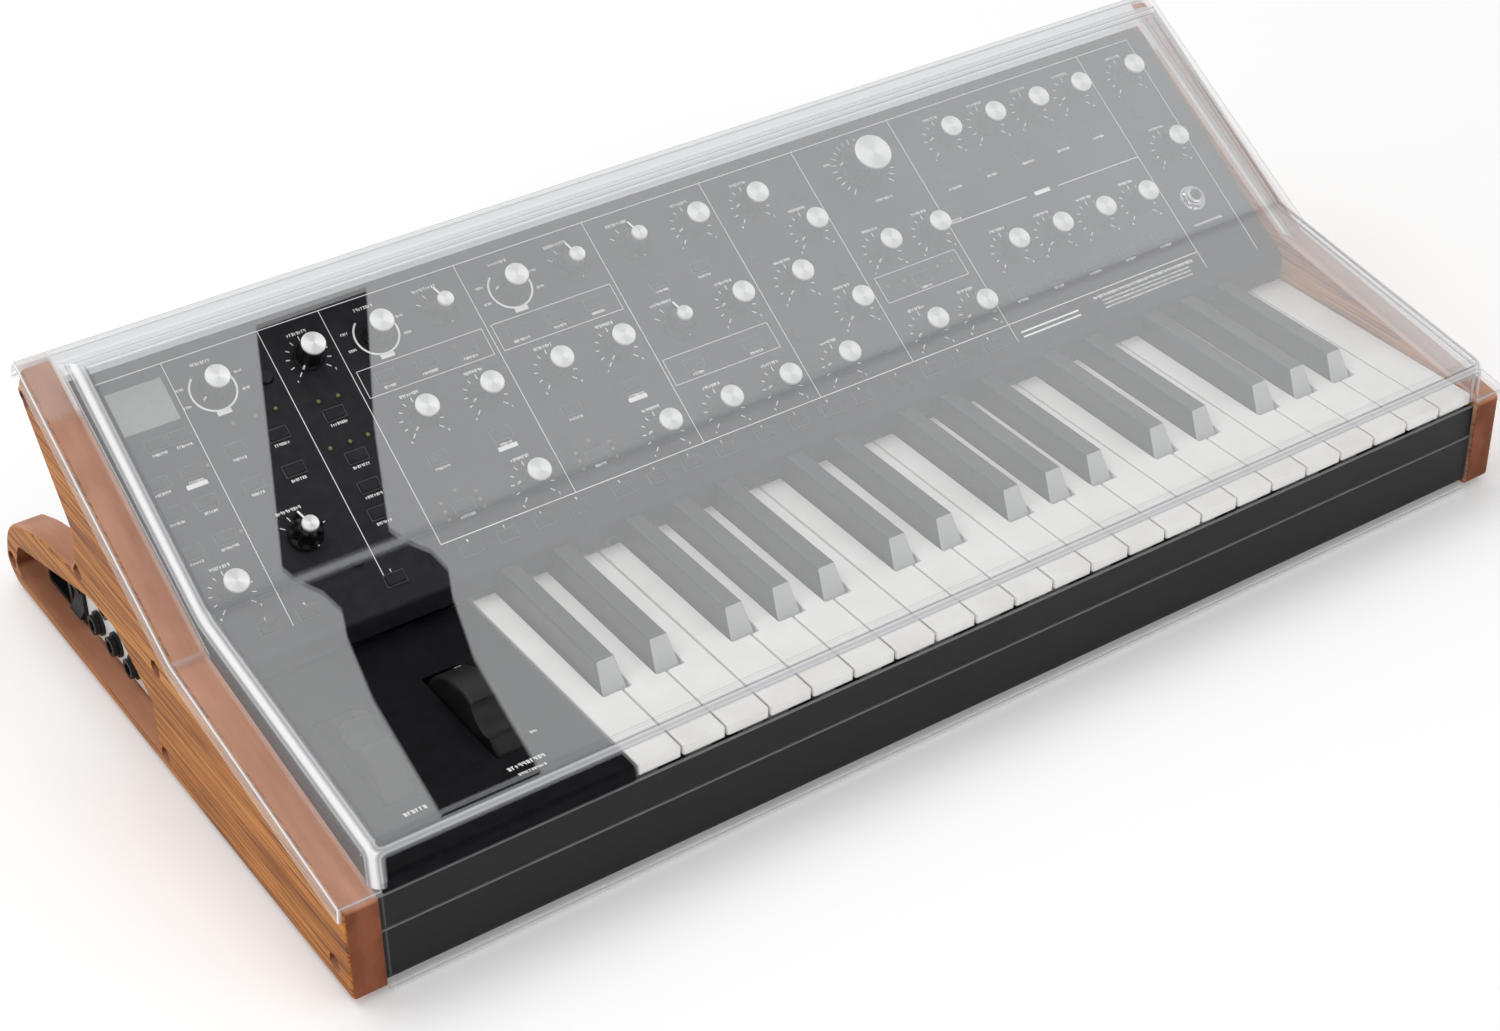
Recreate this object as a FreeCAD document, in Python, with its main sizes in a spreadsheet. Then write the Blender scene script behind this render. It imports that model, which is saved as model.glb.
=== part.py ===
"""Desktop analogue synthesizer: 37 keys, wooden end cheeks and a clear lift-off dust cover.

Frame: +X to the player's right, +Y away from the player, +Z up, millimetres.  The origin is
on the table at the middle of the whole object's footprint.  Depths are first written from
the chassis front (y = 0 there) and are moved by deep() into the frame.
"""
import FreeCAD, Part
import math
import os

Vec = FreeCAD.Vector
Place = FreeCAD.Placement
Turn = FreeCAD.Rotation

# Driving dimensions, one spreadsheet row each.
DIMENSIONS = {
    "half_width": 340.0,         # outer face of a cheek
    "cheek_thick": 16.0,
    "cheek_round": 2.0,
    "cheek_bottom": 3.0,
    "middle_depth": 183.04,      # chassis front to the middle of the footprint
    "foot_height": 5.0,
    "foot_radius": 9.0,
    "foot_x": 288.0,
    "sheet_thick": 1.5,
    "plate_raise": 4.0,          # how far the connector plate stands into the cheek's opening
    "shell_half": 323.5,         # half width of the sheet-metal chassis
    "shell_width": 647.0,
    "rail_low": 34.0,
    "rail_high": 18.0,
    "deck_top": 60.0,
    "deck_right": -195.5,
    "deck_long": 124.0,          # width of the wheel deck, left to right
    "panel_angle": 34.0,
    "key_pitch": 23.5,
    "key_gap": 1.0,
    "key_left": -193.5,          # left edge of the lowest key's pitch
    "key_top": 58.6,
    "lip_height": 5.6,
    "shank_height": 9.0,
    "white_long": 146.5,         # front of a white key to the panel
    "sharp_rise": 12.0,          # a black key above the white ones
    "sharp_wide": 13.6,
    "sharp_top": 9.6,
    "sharp_front": 51.0,
    "wheel_radius": 38.0,
    "wheel_wide": 16.0,
    "wheel_depth": 73.0,
    "wheel_level": 38.0,
    "axle_radius": 3.0,
    "fit_gap": 0.05,             # radial running clearance
    "knob_radius": 7.6,
    "knob_high": 15.0,
    "big_radius": 13.0,
    "big_high": 17.0,
    "shaft_radius": 3.0,
    "cover_thick": 2.5,
    "cover_half": 326.5,         # half width of the raised part of the cover
    "skirt_half": 322.0,         # half width of the skirt, between the cheeks
    "cover_flange": 343.0,       # outer face of the cover's side lips
    "cover_flange_width": 686.0,
}

doc = FreeCAD.newDocument("Synthesizer")
sheet = doc.addObject("Spreadsheet::Sheet", "Params")
for row, (alias, number) in enumerate(DIMENSIONS.items(), start=1):
    sheet.set("A%d" % row, alias)
    sheet.set("B%d" % row, str(number))
    sheet.setAlias("B%d" % row, alias)
doc.recompute()

D = DIMENSIONS
NODES = {}


# ---------------------------------------------------------------- drawing and feature helpers
def deep(depth):
    """Frame y of a depth measured back from the chassis front."""
    return depth - D["middle_depth"]


def at_depth(corners):
    """Side-view corners (depth, height, radius) with the depth moved into the frame."""
    return [(deep(corner[0]),) + tuple(corner[1:]) for corner in corners]


def outline(corners):
    """Closed run of lines; a corner given as (a, b, radius) is rounded by a tangent arc."""
    starts, tops, ends = [], [], []
    count = len(corners)
    for index, corner in enumerate(corners):
        here = Vec(corner[0], corner[1], 0)
        before = Vec(corners[index - 1][0], corners[index - 1][1], 0)
        after = Vec(corners[(index + 1) % count][0], corners[(index + 1) % count][1], 0)
        radius = corner[2] if len(corner) > 2 else 0
        if not radius:
            starts.append(here)
            tops.append(None)
            ends.append(here)
            continue
        back = (before - here).normalize()
        ahead = (after - here).normalize()
        half = back.getAngle(ahead) / 2
        reach = radius / math.tan(half)
        centre = here + (back + ahead).normalize() * (radius / math.sin(half))
        starts.append(here + back * reach)
        tops.append(centre + (here - centre).normalize() * radius)
        ends.append(here + ahead * reach)
    pieces = []
    for index in range(count):
        if tops[index]:
            pieces.append(Part.Arc(starts[index], tops[index], ends[index]))
        following = starts[(index + 1) % count]
        if (following - ends[index]).Length > 1e-6:
            pieces.append(Part.LineSegment(ends[index], following))
    return pieces


def box_outline(low_a, low_b, high_a, high_b, radius=0):
    return outline([(low_a, low_b, radius), (high_a, low_b, radius),
                    (high_a, high_b, radius), (low_a, high_b, radius)])


def bent_sheet(corners, thick):
    """Outline of a folded sheet whose outer face runs through corners; its thickness is to
    the right of the direction of travel."""
    inner = []
    normals = []
    for first, second in zip(corners, corners[1:]):
        run = Vec(second[0] - first[0], second[1] - first[1], 0).normalize()
        normals.append(Vec(run.y, -run.x, 0))
    for index, corner in enumerate(corners):
        here = Vec(corner[0], corner[1], 0)
        radius = corner[2] if len(corner) > 2 else 0
        if index == 0 or index == len(corners) - 1:
            normal = normals[0] if index == 0 else normals[-1]
            inner.append((here.x + normal.x * thick, here.y + normal.y * thick))
            continue
        one, two = normals[index - 1], normals[index]
        mitre = (one + two).normalize()
        step = mitre * (thick / mitre.dot(one))
        turning_in = one.cross(two).z < 0
        inner_radius = max(radius - thick, 0) if turning_in else (radius + thick if radius else 0)
        inner.append((here.x + step.x, here.y + step.y, inner_radius))
    return outline(list(corners) + inner[::-1])


def circle(centre_a, centre_b, radius):
    return Part.Circle(Vec(centre_a, centre_b, 0), Vec(0, 0, 1), radius)


def new_body(name):
    body = doc.addObject("PartDesign::Body", name)
    body.Label = name
    return body


def sketch(body, role, pieces, level="0", placed=None):
    """Sketch on one of the body's own planes, raised to level or laid at a placement."""
    drawing = body.newObject("Sketcher::SketchObject", body.Name + "_sketch")
    support = next(item for item in body.Origin.OriginFeatures if item.Role == role)
    drawing.AttachmentSupport = [(support, "")]
    drawing.MapMode = "FlatFace"
    if placed:
        drawing.AttachmentOffset = placed
    else:
        drawing.setExpression("AttachmentOffset.Base.z", level)
    drawing.addGeometry(pieces, False)
    return drawing


def feature(body, kind, drawing, length, reverse=False, midplane=False):
    made = body.newObject("PartDesign::" + kind, body.Name + "_" + kind.lower())
    made.Profile = drawing
    made.setExpression("Length", length)
    made.Reversed = reverse
    made.Midplane = midplane
    body.Tip = made
    return made


def cut_checked(body, drawing, length, reverse=False, midplane=False):
    """Pocket that has to take material away."""
    doc.recompute()
    before = body.Shape.Volume
    made = feature(body, "Pocket", drawing, length, reverse, midplane)
    doc.recompute()
    if not body.Shape.Volume < before - 0.5:
        raise RuntimeError(body.Label + ": a pocket cuts nothing")
    return made


def slab(name, role, pieces, level, length):
    """Body of one padded outline."""
    body = new_body(name)
    feature(body, "Pad", sketch(body, role, pieces, level), length)
    return body


def round_edges(body, radius, wanted):
    """Fillet on the body's edges for which wanted(edge) is true."""
    doc.recompute()
    base = body.Tip
    names = ["Edge%d" % (index + 1) for index, edge in enumerate(base.Shape.Edges)
             if wanted(edge)]
    made = body.newObject("PartDesign::Fillet", body.Name + "_fillet")
    made.Base = (base, names)
    made.setExpression("Radius", radius)
    body.Tip = made
    return made


def keep(name, made):
    NODES[name] = made


def shape_node(name, solids, placed=None):
    """Node of several separate solids."""
    made = doc.addObject("Part::Feature", name)
    made.Label = name
    made.Shape = solids[0] if len(solids) == 1 else Part.makeCompound(solids)
    if placed:
        made.Placement = placed
    keep(name, made)
    return made


def solid_box(low, high):
    return Part.makeBox(high[0] - low[0], high[1] - low[1], high[2] - low[2], Vec(*low))


def disc(centre, axis, radius, length):
    return Part.makeCylinder(radius, length, Vec(*centre), Vec(*axis))


# ---------------------------------------------------------------- side views
# Outer edge of a cheek: low over the keys, rising with the panel, a leaning neck behind and
# a long low tail below it.
CHEEK = [
    (-4.0, D["cheek_bottom"], 3.0), (-4.0, 55.0, 4.0), (150.0, 83.0, 12.0),
    (292.0, 168.0, 3.0), (303.0, 151.0, 2.5), (260.0, 92.0, 12.0), (268.0, 67.0, 13.0),
    (320.0, 58.0, 140.0), (363.0, 40.0, 34.0), (372.6, 12.5, 9.0),
    (361.5, D["cheek_bottom"], 8.0),
]
# Opening in the left cheek, over the connectors.
PORT = [
    (187.0, 10.0, 4.0), (187.0, 40.0, 10.0), (222.0, 61.0, 12.0), (252.0, 60.5, 25.0),
    (350.0, 32.5, 8.0), (357.5, 18.0, 7.0), (352.0, 10.0, 4.0),
]
SCREWS = [(295.0, 149.0), (363.0, 16.5), (263.0, 68.5), (176.0, 66.5), (181.0, 12.0), (12.0, 14.0)]
CHASSIS_REAR = [
    (289.2, 156.5), (289.2, 151.0, 4.0), (256.5, 98.0, 6.0), (256.5, 78.0, 8.0),
    (268.0, 58.0, 8.0), (300.0, 49.5, 20.0), (330.0, 42.0, 8.0), (346.0, 36.0, 5.0), (346.0, 6.5),
]
PANEL_SHEET = [(147.0, 61.5), (147.0, 73.0, 5.0), (273.2, 158.1, 3.0), (289.2, 158.1)]
PANEL_FOOT = (153.0, 77.05)          # where the flat of the panel starts
# End wall of the chassis: low beside the keys, so that they can travel.
END_WALL = [
    (1.2, 6.5), (344.0, 6.5), (344.0, 33.0), (329.0, 39.5), (299.5, 47.2), (266.0, 56.5),
    (254.7, 77.5), (254.7, 98.5), (287.3, 152.3), (287.3, 156.2), (273.8, 156.2),
    (197.0, 104.0), (197.0, 41.0), (0.0, 31.0), (0.0, 7.7),
]
# The left one stops short of the connectors, where their plate takes its place.
LEFT_WALL = [
    (1.2, 6.5), (186.0, 6.5), (186.0, 63.8), (254.7, 63.8), (254.7, 98.5), (287.3, 152.3),
    (287.3, 156.2), (273.8, 156.2), (197.0, 104.0), (174.0, 88.4), (174.0, 39.8), (0.0, 31.0),
    (0.0, 7.7),
]
PANEL_PLACE = Place(Vec(0, deep(PANEL_FOOT[0]), PANEL_FOOT[1]),
                    Turn(Vec(1, 0, 0), D["panel_angle"]))


# ---------------------------------------------------------------- wooden cheeks
def cheek(name, side):
    """One end cheek; side is -1 on the left and 1 on the right."""
    level = "-Params.half_width" if side < 0 else "Params.half_width - Params.cheek_thick"
    outer_level = "-Params.half_width" if side < 0 else "Params.half_width"
    body = slab(name, "YZ_Plane", outline(at_depth(CHEEK)), level, "Params.cheek_thick")
    outer = side * D["half_width"]

    def is_outer(edge):
        return all(abs(point.Point.x - outer) < 1e-6 for point in edge.Vertexes)

    round_edges(body, "Params.cheek_round", is_outer)
    if side < 0:
        port = sketch(body, "YZ_Plane", outline(at_depth(PORT)), outer_level)
        cut_checked(body, port, "Params.cheek_thick", reverse=True)
    heads = sketch(body, "YZ_Plane", [circle(deep(a), b, 4.6) for a, b in SCREWS], outer_level)
    cut_checked(body, heads, "6", reverse=side < 0)
    holes = sketch(body, "YZ_Plane", [circle(deep(a), b, 2.2) for a, b in SCREWS], outer_level)
    cut_checked(body, holes, "Params.cheek_thick", reverse=side < 0)
    keep(name, body)


def cheek_screws():
    """Pan-head screws in the counterbores of both cheeks."""
    solids = []
    for side in (-1, 1):
        face = side * D["half_width"]
        for depth, height in SCREWS:
            head = disc((face - side * 5.9, deep(depth), height), (side, 0, 0), 4.0, 2.4)
            shank = disc((face - side * D["cheek_thick"], deep(depth), height),
                         (side, 0, 0), 2.0, D["cheek_thick"] - 5.9)
            cross = solid_box((-1, -2.2, -0.4), (1, 2.2, 0.4))
            cross = cross.fuse(solid_box((-1, -0.4, -2.2), (1, 0.4, 2.2)))
            cross.translate(Vec(face - side * 3.3, deep(depth), height))
            solids.append(head.fuse(shank).removeSplitter().cut(cross))
    shape_node("cheek_screws", solids)


# ---------------------------------------------------------------- sheet-metal chassis
def chassis_pan():
    """Folded floor with its low front wall, and the two end walls welded to it."""
    folded = bent_sheet(at_depth([(-2.2, 33.5, 0.7), (-2.2, 5.0, 2.5), (346.0, 5.0)]),
                        -D["sheet_thick"])
    sheets = [slab("chassis_floor", "YZ_Plane", folded, "-Params.shell_half",
                   "Params.shell_width"),
              slab("chassis_left_wall", "YZ_Plane", outline(at_depth(LEFT_WALL)),
                   "-Params.shell_half + Params.sheet_thick", "Params.sheet_thick"),
              slab("chassis_right_wall", "YZ_Plane", outline(at_depth(END_WALL)),
                   "Params.shell_half - Params.sheet_thick", "Params.sheet_thick")]
    joined = doc.addObject("Part::Compound", "chassis_pan")
    joined.Label = "chassis_pan"
    joined.Links = sheets
    keep("chassis_pan", joined)


def front_rail():
    body = slab("front_rail", "YZ_Plane",
                outline([(deep(-1.5), D["rail_low"], 0.5), (deep(0), D["rail_low"]),
                         (deep(0), D["rail_low"] + D["rail_high"]),
                         (deep(-1.5), D["rail_low"] + D["rail_high"], 0.7)]),
                "-Params.shell_half", "Params.shell_width")
    keep("front_rail", body)


def rear_panel():
    pieces = bent_sheet(at_depth(CHASSIS_REAR), D["sheet_thick"])
    keep("rear_panel", slab("rear_panel", "YZ_Plane", pieces, "-Params.shell_half",
                            "Params.shell_width"))


def rubber_feet():
    solids = []
    for side in (-1, 1):
        for depth in (22.0, 322.0):
            centre = (side * D["foot_x"], deep(depth), 0)
            foot = Part.makeCone(D["foot_radius"] - 1.5, D["foot_radius"], D["foot_height"],
                                 Vec(*centre))
            solids.append(foot)
    shape_node("rubber_feet", solids)


# ---------------------------------------------------------------- control panel layout
# Columns run left to right and rows up the slope from the panel's foot.
KNOB_ROWS = {"top": 124.0, "upper": 99.8, "middle": 75.3, "lower": 51.0, "bottom": 25.5}
KNOBS = [
    # glide, tuning and arpeggiator
    (-299.0, 27.0), (-263.0, KNOB_ROWS["top"]), (-255.5, 40.5), (-213.5, KNOB_ROWS["top"]),
    # volume and headphones
    (295.5, KNOB_ROWS["top"]), (295.5, KNOB_ROWS["middle"]),
]
# the two modulation sections share one layout, a fixed step apart
for section in (-177.0, -102.4):
    KNOBS += [(section, KNOB_ROWS["top"]), (section + 34.8, KNOB_ROWS["top"]),
              (section, KNOB_ROWS["middle"]), (section + 35.4, KNOB_ROWS["middle"]),
              (section + 35.4, KNOB_ROWS["bottom"])]
# two oscillators, three rows of two
for level in ("top", "middle", "bottom"):
    KNOBS += [(-31.0, KNOB_ROWS[level]), (4.4, KNOB_ROWS[level])]
# mixer in a zigzag
KNOBS += [(41.0, KNOB_ROWS["top"]), (64.5, KNOB_ROWS["upper"]), (41.0, KNOB_ROWS["middle"]),
          (64.5, KNOB_ROWS["lower"]), (41.0, KNOB_ROWS["bottom"])]
# filter, under the large cutoff knob
KNOBS += [(97.2, KNOB_ROWS["middle"]), (129.4, KNOB_ROWS["middle"]),
          (97.2, KNOB_ROWS["bottom"]), (129.4, KNOB_ROWS["bottom"])]
# two envelopes of four
for level in ("top", "lower"):
    KNOBS += [(167.0 + 30.0 * step, KNOB_ROWS[level]) for step in range(4)]
BIG_KNOB = (113.5, 123.5)
JACK_SPOT = (291.0, 42.5)            # headphone socket

# Flat rectangular buttons, centre column and row.
STEP_ROW = 5.2
BUTTONS = [
    (-299.6, 107.4), (-287.6, 107.4), (-290.0, 89.0), (-307.0, 88.5), (-290.5, 72.4),
    (-307.0, 72.6), (-290.0, 53.0), (-307.2, 51.6), (-290.6, STEP_ROW), (-271.0, STEP_ROW),
    (-266.5, 92.2), (-266.5, 73.0), (-245.6, 72.8), (-245.0, 92.0),
    (-215.0, 92.3), (-215.0, 68.4), (-216.4, 52.4), (-218.0, 38.2), (-226.3, STEP_ROW),
]
for section in (-183.0, -110.2):
    BUTTONS += [(section, 101.4), (section + 21.8, 101.4), (section + 44.2, 101.6)]
for section in (-179.1, -105.0):
    BUTTONS += [(section, 53.3), (section + 34.9, 53.7), (section, 26.5)]
BUTTONS += [(-28.4, 101.0), (-2.7, 101.0), (-33.2, 53.2), (1.6, 52.8), (110.2, 53.9),
            (147.5, 83.0)]
BUTTONS += [(158.0 + 25.0 * step, 100.4) for step in range(5)]
BUTTONS += [(158.4 + 24.9 * step, 27.6) for step in range(5)]
# sixteen step buttons in four groups
for first, pitch in ((-185.6, 19.9), (-101.3, 20.0), (-17.3, 20.0), (66.2, 20.2)):
    BUTTONS += [(first + pitch * step, STEP_ROW) for step in range(4)]
ROUND_BUTTONS = [(-274.5, 20.5), (-239.0, 20.7), (-217.0, 22.2), (69.9, 121.6), (27.8, 97.8),
                 (70.0, 73.3), (27.8, 48.9), (69.8, 24.8), (290.4, 100.9)]
TAP_BUTTON = (-237.3, 121.2)
DISPLAY = (-311.5, 115.5, -283.0, 138.8)


def control_panel():
    """Folded front panel with its shaft holes, display window and tap-button hole."""
    body = new_body("control_panel")
    pieces = bent_sheet(at_depth(PANEL_SHEET), D["sheet_thick"])
    feature(body, "Pad", sketch(body, "YZ_Plane", pieces, "-Params.shell_half"),
            "Params.shell_width")
    holes = [circle(x, v, D["shaft_radius"] + 0.6) for x, v in KNOBS + [BIG_KNOB]]
    holes.append(circle(TAP_BUTTON[0], TAP_BUTTON[1], 3.9))
    holes.append(circle(JACK_SPOT[0], JACK_SPOT[1], 4.8))
    holes += box_outline(*DISPLAY, radius=0.5)
    drilled = sketch(body, "XY_Plane", holes, placed=PANEL_PLACE)
    cut_checked(body, drilled, "8", midplane=True)
    keep("control_panel", body)


def knob_solid(x, v, radius, high):
    """Skirted knob with a domed cap, bored for its shaft."""
    skirt = Part.makeCone(radius, radius - 0.7, high - 2.0, Vec(x, v, 0.5))
    skirt = skirt.makeFillet(0.6, [edge for edge in skirt.Edges
                                   if edge.BoundBox.ZMin > high - 1.6])
    cap = Part.makeCylinder(radius - 1.6, 2.0, Vec(x, v, high - 2.0))
    cap = cap.makeFillet(0.5, [edge for edge in cap.Edges if edge.BoundBox.ZMin > high - 0.1])
    bore = Part.makeCylinder(D["shaft_radius"] + D["fit_gap"], high - 4.0, Vec(x, v, 0))
    return skirt.fuse(cap).cut(bore)


def panel_controls():
    """Knobs, flat buttons, the round tap button and the display, all on the panel face."""
    knobs = [knob_solid(x, v, D["knob_radius"], D["knob_high"]) for x, v in KNOBS]
    shape_node("panel_knobs", knobs, PANEL_PLACE)
    shape_node("cutoff_knob", [knob_solid(*BIG_KNOB, D["big_radius"], D["big_high"])],
               PANEL_PLACE)
    caps = []
    for x, v in BUTTONS:
        cap = Part.makeBox(9.4, 5.4, 1.4, Vec(x - 4.7, v - 2.7, 0))
        caps.append(cap.makeFillet(0.5, [edge for edge in cap.Edges
                                         if edge.BoundBox.ZMax > 1.3]))
    for x, v in ROUND_BUTTONS:
        caps.append(Part.makeCone(3.7, 3.4, 1.5, Vec(x, v, 0)))
    shape_node("panel_buttons", caps, PANEL_PLACE)
    x, v = TAP_BUTTON
    shape_node("tap_button", [Part.makeCone(3.6, 3.3, 6.0, Vec(x, v, -4.4))], PANEL_PLACE)
    low_x, low_v, high_x, high_v = DISPLAY
    glass = Part.makeBox(high_x - low_x - 0.4, high_v - low_v - 0.4, 3.0,
                         Vec(low_x + 0.2, low_v + 0.2, -3.2))
    shape_node("display", [glass], PANEL_PLACE)


def circuit_boards():
    """Panel board with one potentiometer under each knob, and the main board on the floor."""
    panel_board = Part.makeBox(628.0, 134.0, 1.6, Vec(-318.0, 4.0, -15.0))
    parts = []
    for x, v in KNOBS + [BIG_KNOB]:
        pot = Part.makeBox(9.6, 9.6, 6.4, Vec(x - 4.8, v - 4.8, -13.4))
        shaft = Part.makeCylinder(D["shaft_radius"], 17.5, Vec(x, v, -7.0))
        parts.append(pot.fuse(shaft))
    jack_room = Part.makeBox(16.0, 16.0, 4.0, Vec(JACK_SPOT[0] - 8.0, JACK_SPOT[1] - 8.0, -16.0))
    solids = [panel_board.cut(jack_room).multiFuse(parts).removeSplitter()]
    solids[0].Placement = PANEL_PLACE
    main = solid_box((-200.0, deep(205.0), 13.0), (230.0, deep(330.0), 14.6))
    chips = [solid_box((x, deep(240.0), 14.6), (x + 22.0, deep(262.0), 17.2))
             for x in (-150.0, -60.0, 30.0, 120.0)]
    posts = [disc((x, deep(y), 6.5), (0, 0, 1), 3.0, 6.5)
             for x in (-190.0, 15.0, 220.0) for y in (212.0, 322.0)]
    solids.append(main.multiFuse(chips + posts).removeSplitter())
    shape_node("circuit_boards", solids)


def power_supply():
    case = solid_box((-292.0, deep(215.0), 6.5), (-212.0, deep(325.0), 33.0))
    slots = [solid_box((-280.0 + 12.0 * n, deep(240.0), 31.5), (-275.0 + 12.0 * n, deep(300.0), 34))
             for n in range(5)]
    shape_node("power_supply", [case.cut(Part.makeCompound(slots))])


# ---------------------------------------------------------------- connectors, left side
JACKS = [(281.0, 22.0), (260.0, 22.0), (239.0, 22.0), (262.0, 43.0), (241.0, 43.0),
         (220.0, 43.0)]
PLATE_PAD = [(187.6, 11.0, 3.5), (187.6, 39.8, 9.5), (222.3, 60.2, 11.5), (250.0, 59.8, 24.0),
             (342.0, 34.0, 2.0), (342.0, 11.0, 2.0)]
INLET = (296.0, 12.0, 342.0, 33.0)
ROCKER_WELL = (297.2, 13.2, 310.8, 31.8)
INLET_WELL = (314.5, 14.5, 339.5, 30.5)
ROCKER_AXIS = (-325.0, 304.0, 22.5)


def connector_plate():
    """Plate on the chassis end, seen through the left cheek's opening."""
    face = outline(at_depth([(186.5, 7.0), (344.0, 7.0), (344.0, 33.0), (329.0, 39.5),
                             (299.5, 47.2), (266.0, 56.5), (258.0, 63.0), (186.5, 63.0)]))
    body = slab("connector_plate", "YZ_Plane", face, "-Params.shell_half", "Params.sheet_thick")
    pad = sketch(body, "YZ_Plane", outline(at_depth(PLATE_PAD)), "-Params.shell_half")
    feature(body, "Pad", pad, "Params.plate_raise", reverse=True)
    holes = [circle(deep(a), b, 5.4) for a, b in JACKS]
    holes += box_outline(deep(INLET[0]) - 0.1, INLET[1] - 0.1, deep(INLET[2]) + 0.1,
                         INLET[3] + 0.1)
    outer = "-Params.shell_half - Params.plate_raise"
    cut_checked(body, sketch(body, "YZ_Plane", holes, outer),
                "Params.sheet_thick + Params.plate_raise", reverse=True)
    keep("connector_plate", body)


def jack(radius, nose, reach, wall):
    """Jack socket along +Z: nose above z = 0, body behind a wall, bored from the mouth."""
    body = Part.makeBox(13.0, 13.0, 22.0 - wall, Vec(-6.5, -6.5, -22.0))
    barrel = Part.makeCylinder(radius, nose + wall + 0.2, Vec(0, 0, -wall - 0.2))
    flange = Part.makeCylinder(radius + 1.4, 1.6, Vec(0, 0, 0))
    bore = Part.makeCylinder(3.2, reach, Vec(0, 0, nose - reach))
    return body.fuse(barrel).fuse(flange).cut(bore)


def io_sockets():
    """Six jack sockets and the power inlet on the side, and the headphone socket on top."""
    solids = []
    for depth, height in JACKS:
        one = jack(5.2, 4.5, 18.0, D["sheet_thick"] + D["plate_raise"] + 0.5)
        one.Placement = Place(Vec(-D["shell_half"] - D["plate_raise"], deep(depth), height),
                              Turn(Vec(0, 1, 0), -90))
        solids.append(one)
    front = -D["shell_half"] - D["plate_raise"] - 2.0
    inlet = solid_box((front, deep(INLET[0]), INLET[1]), (-300.0, deep(INLET[2]), INLET[3]))
    rocker_well = solid_box((front - 1, deep(ROCKER_WELL[0]), ROCKER_WELL[1]),
                            (-314.0, deep(ROCKER_WELL[2]), ROCKER_WELL[3]))
    plug_well = solid_box((front - 1, deep(INLET_WELL[0]), INLET_WELL[1]),
                          (-306.0, deep(INLET_WELL[2]), INLET_WELL[3]))
    blades = [solid_box((-324.0, deep(depth), height), (-306.0, deep(depth) + 2.0, height + 4.0))
              for depth, height in ((319.0, 19.0), (326.0, 22.5), (333.0, 19.0))]
    solids.append(inlet.cut(rocker_well).cut(plug_well).multiFuse(blades))
    top = jack(4.5, 4.0, 20.0, 2.0)
    hexagon = Part.makePolygon([Vec(6.4 * math.cos(math.radians(60 * n)),
                                    6.4 * math.sin(math.radians(60 * n)), 0)
                                for n in range(7)])
    nut = Part.Face(Part.Wire(hexagon)).extrude(Vec(0, 0, 2.4))
    bore = Part.makeCylinder(3.2, 20.0, Vec(0, 0, -16.0))
    top = top.fuse(nut).cut(bore)
    top.Placement = PANEL_PLACE.multiply(Place(Vec(JACK_SPOT[0], JACK_SPOT[1], 0), Turn()))
    solids.append(top)
    shape_node("io_sockets", solids)


def power_switch():
    """Rocker in its well, tilted to its on position."""
    x, depth, height = ROCKER_AXIS
    rocker = solid_box((-6.0, -6.3, -8.4), (4.2, 6.3, 8.4))
    hollow = disc((-16.5, -7, 0), (0, 1, 0), 13.0, 14.0)
    rocker = rocker.cut(hollow)
    rocker.Placement = Place(Vec(x, deep(depth), height), Turn(Vec(0, 1, 0), 5))
    shape_node("power_switch", [rocker])


# ---------------------------------------------------------------- wheels and their deck
PITCH_X = -287.5
MOD_X = -232.5
SLOT_HALF = 34.5


def wheel_deck():
    """Raised deck left of the keys, with two wheel slots and the wheels' axle below it."""
    pieces = bent_sheet(at_depth([(-0.8, 52.5), (-0.8, D["deck_top"], 2.5),
                                  (146.8, D["deck_top"])]), 2.5)
    body = new_body("wheel_deck")
    start = "Params.deck_right - Params.deck_long"
    feature(body, "Pad", sketch(body, "YZ_Plane", pieces, start), "Params.deck_long")
    middle = deep(D["wheel_depth"])
    half = D["wheel_wide"] / 2 + 1.5
    slots = []
    for x in (PITCH_X, MOD_X):
        slots += box_outline(x - half, middle - SLOT_HALF, x + half, middle + SLOT_HALF, 1.5)
    cut_checked(body, sketch(body, "XY_Plane", slots, "Params.deck_top + 1"), "6")
    for x in (PITCH_X - 15.0, (PITCH_X + MOD_X) / 2, MOD_X + 15.0):
        ear = box_outline(middle - 9.0, D["wheel_level"] - 8.0, middle + 9.0,
                          D["deck_top"] - 1.0)
        feature(body, "Pad", sketch(body, "YZ_Plane", ear, str(x - 1.0)), "2")
    rod = [circle(middle, D["wheel_level"], D["axle_radius"])]
    feature(body, "Pad", sketch(body, "YZ_Plane", rod, str(PITCH_X - 15.5)),
            str(MOD_X - PITCH_X + 31.0))
    keep("wheel_deck", body)


def wheel(name, x, rest_turn):
    """Playing wheel with a finger notch in its rim; rest_turn is its turn from upright."""
    radius, level = D["wheel_radius"], D["wheel_level"]
    half = D["wheel_wide"] / 2
    disk = Part.makeCylinder(radius, 2 * half, Vec(-half, 0, 0), Vec(1, 0, 0))
    disk = disk.makeFillet(2.0, [edge for edge in disk.Edges
                                 if edge.Curve.TypeId == "Part::GeomCircle"])
    below = solid_box((-half - 1, -radius - 1, -radius - 1), (half + 1, radius + 1, -14.0))
    notch = disc((-half - 1, 0, radius + 6.0), (1, 0, 0), 12.0, 2 * half + 2)
    hub = disc((-half, 0, 0), (1, 0, 0), 15.0, 2 * half)
    bore = disc((-half - 1, 0, 0), (1, 0, 0), D["axle_radius"] + D["fit_gap"], 2 * half + 2)
    made = disk.cut(below).cut(notch).fuse(hub).cut(bore).removeSplitter()
    place = Place(Vec(x, deep(D["wheel_depth"]), level), Turn(Vec(1, 0, 0), rest_turn))
    shape_node(name, [made], place)


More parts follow.
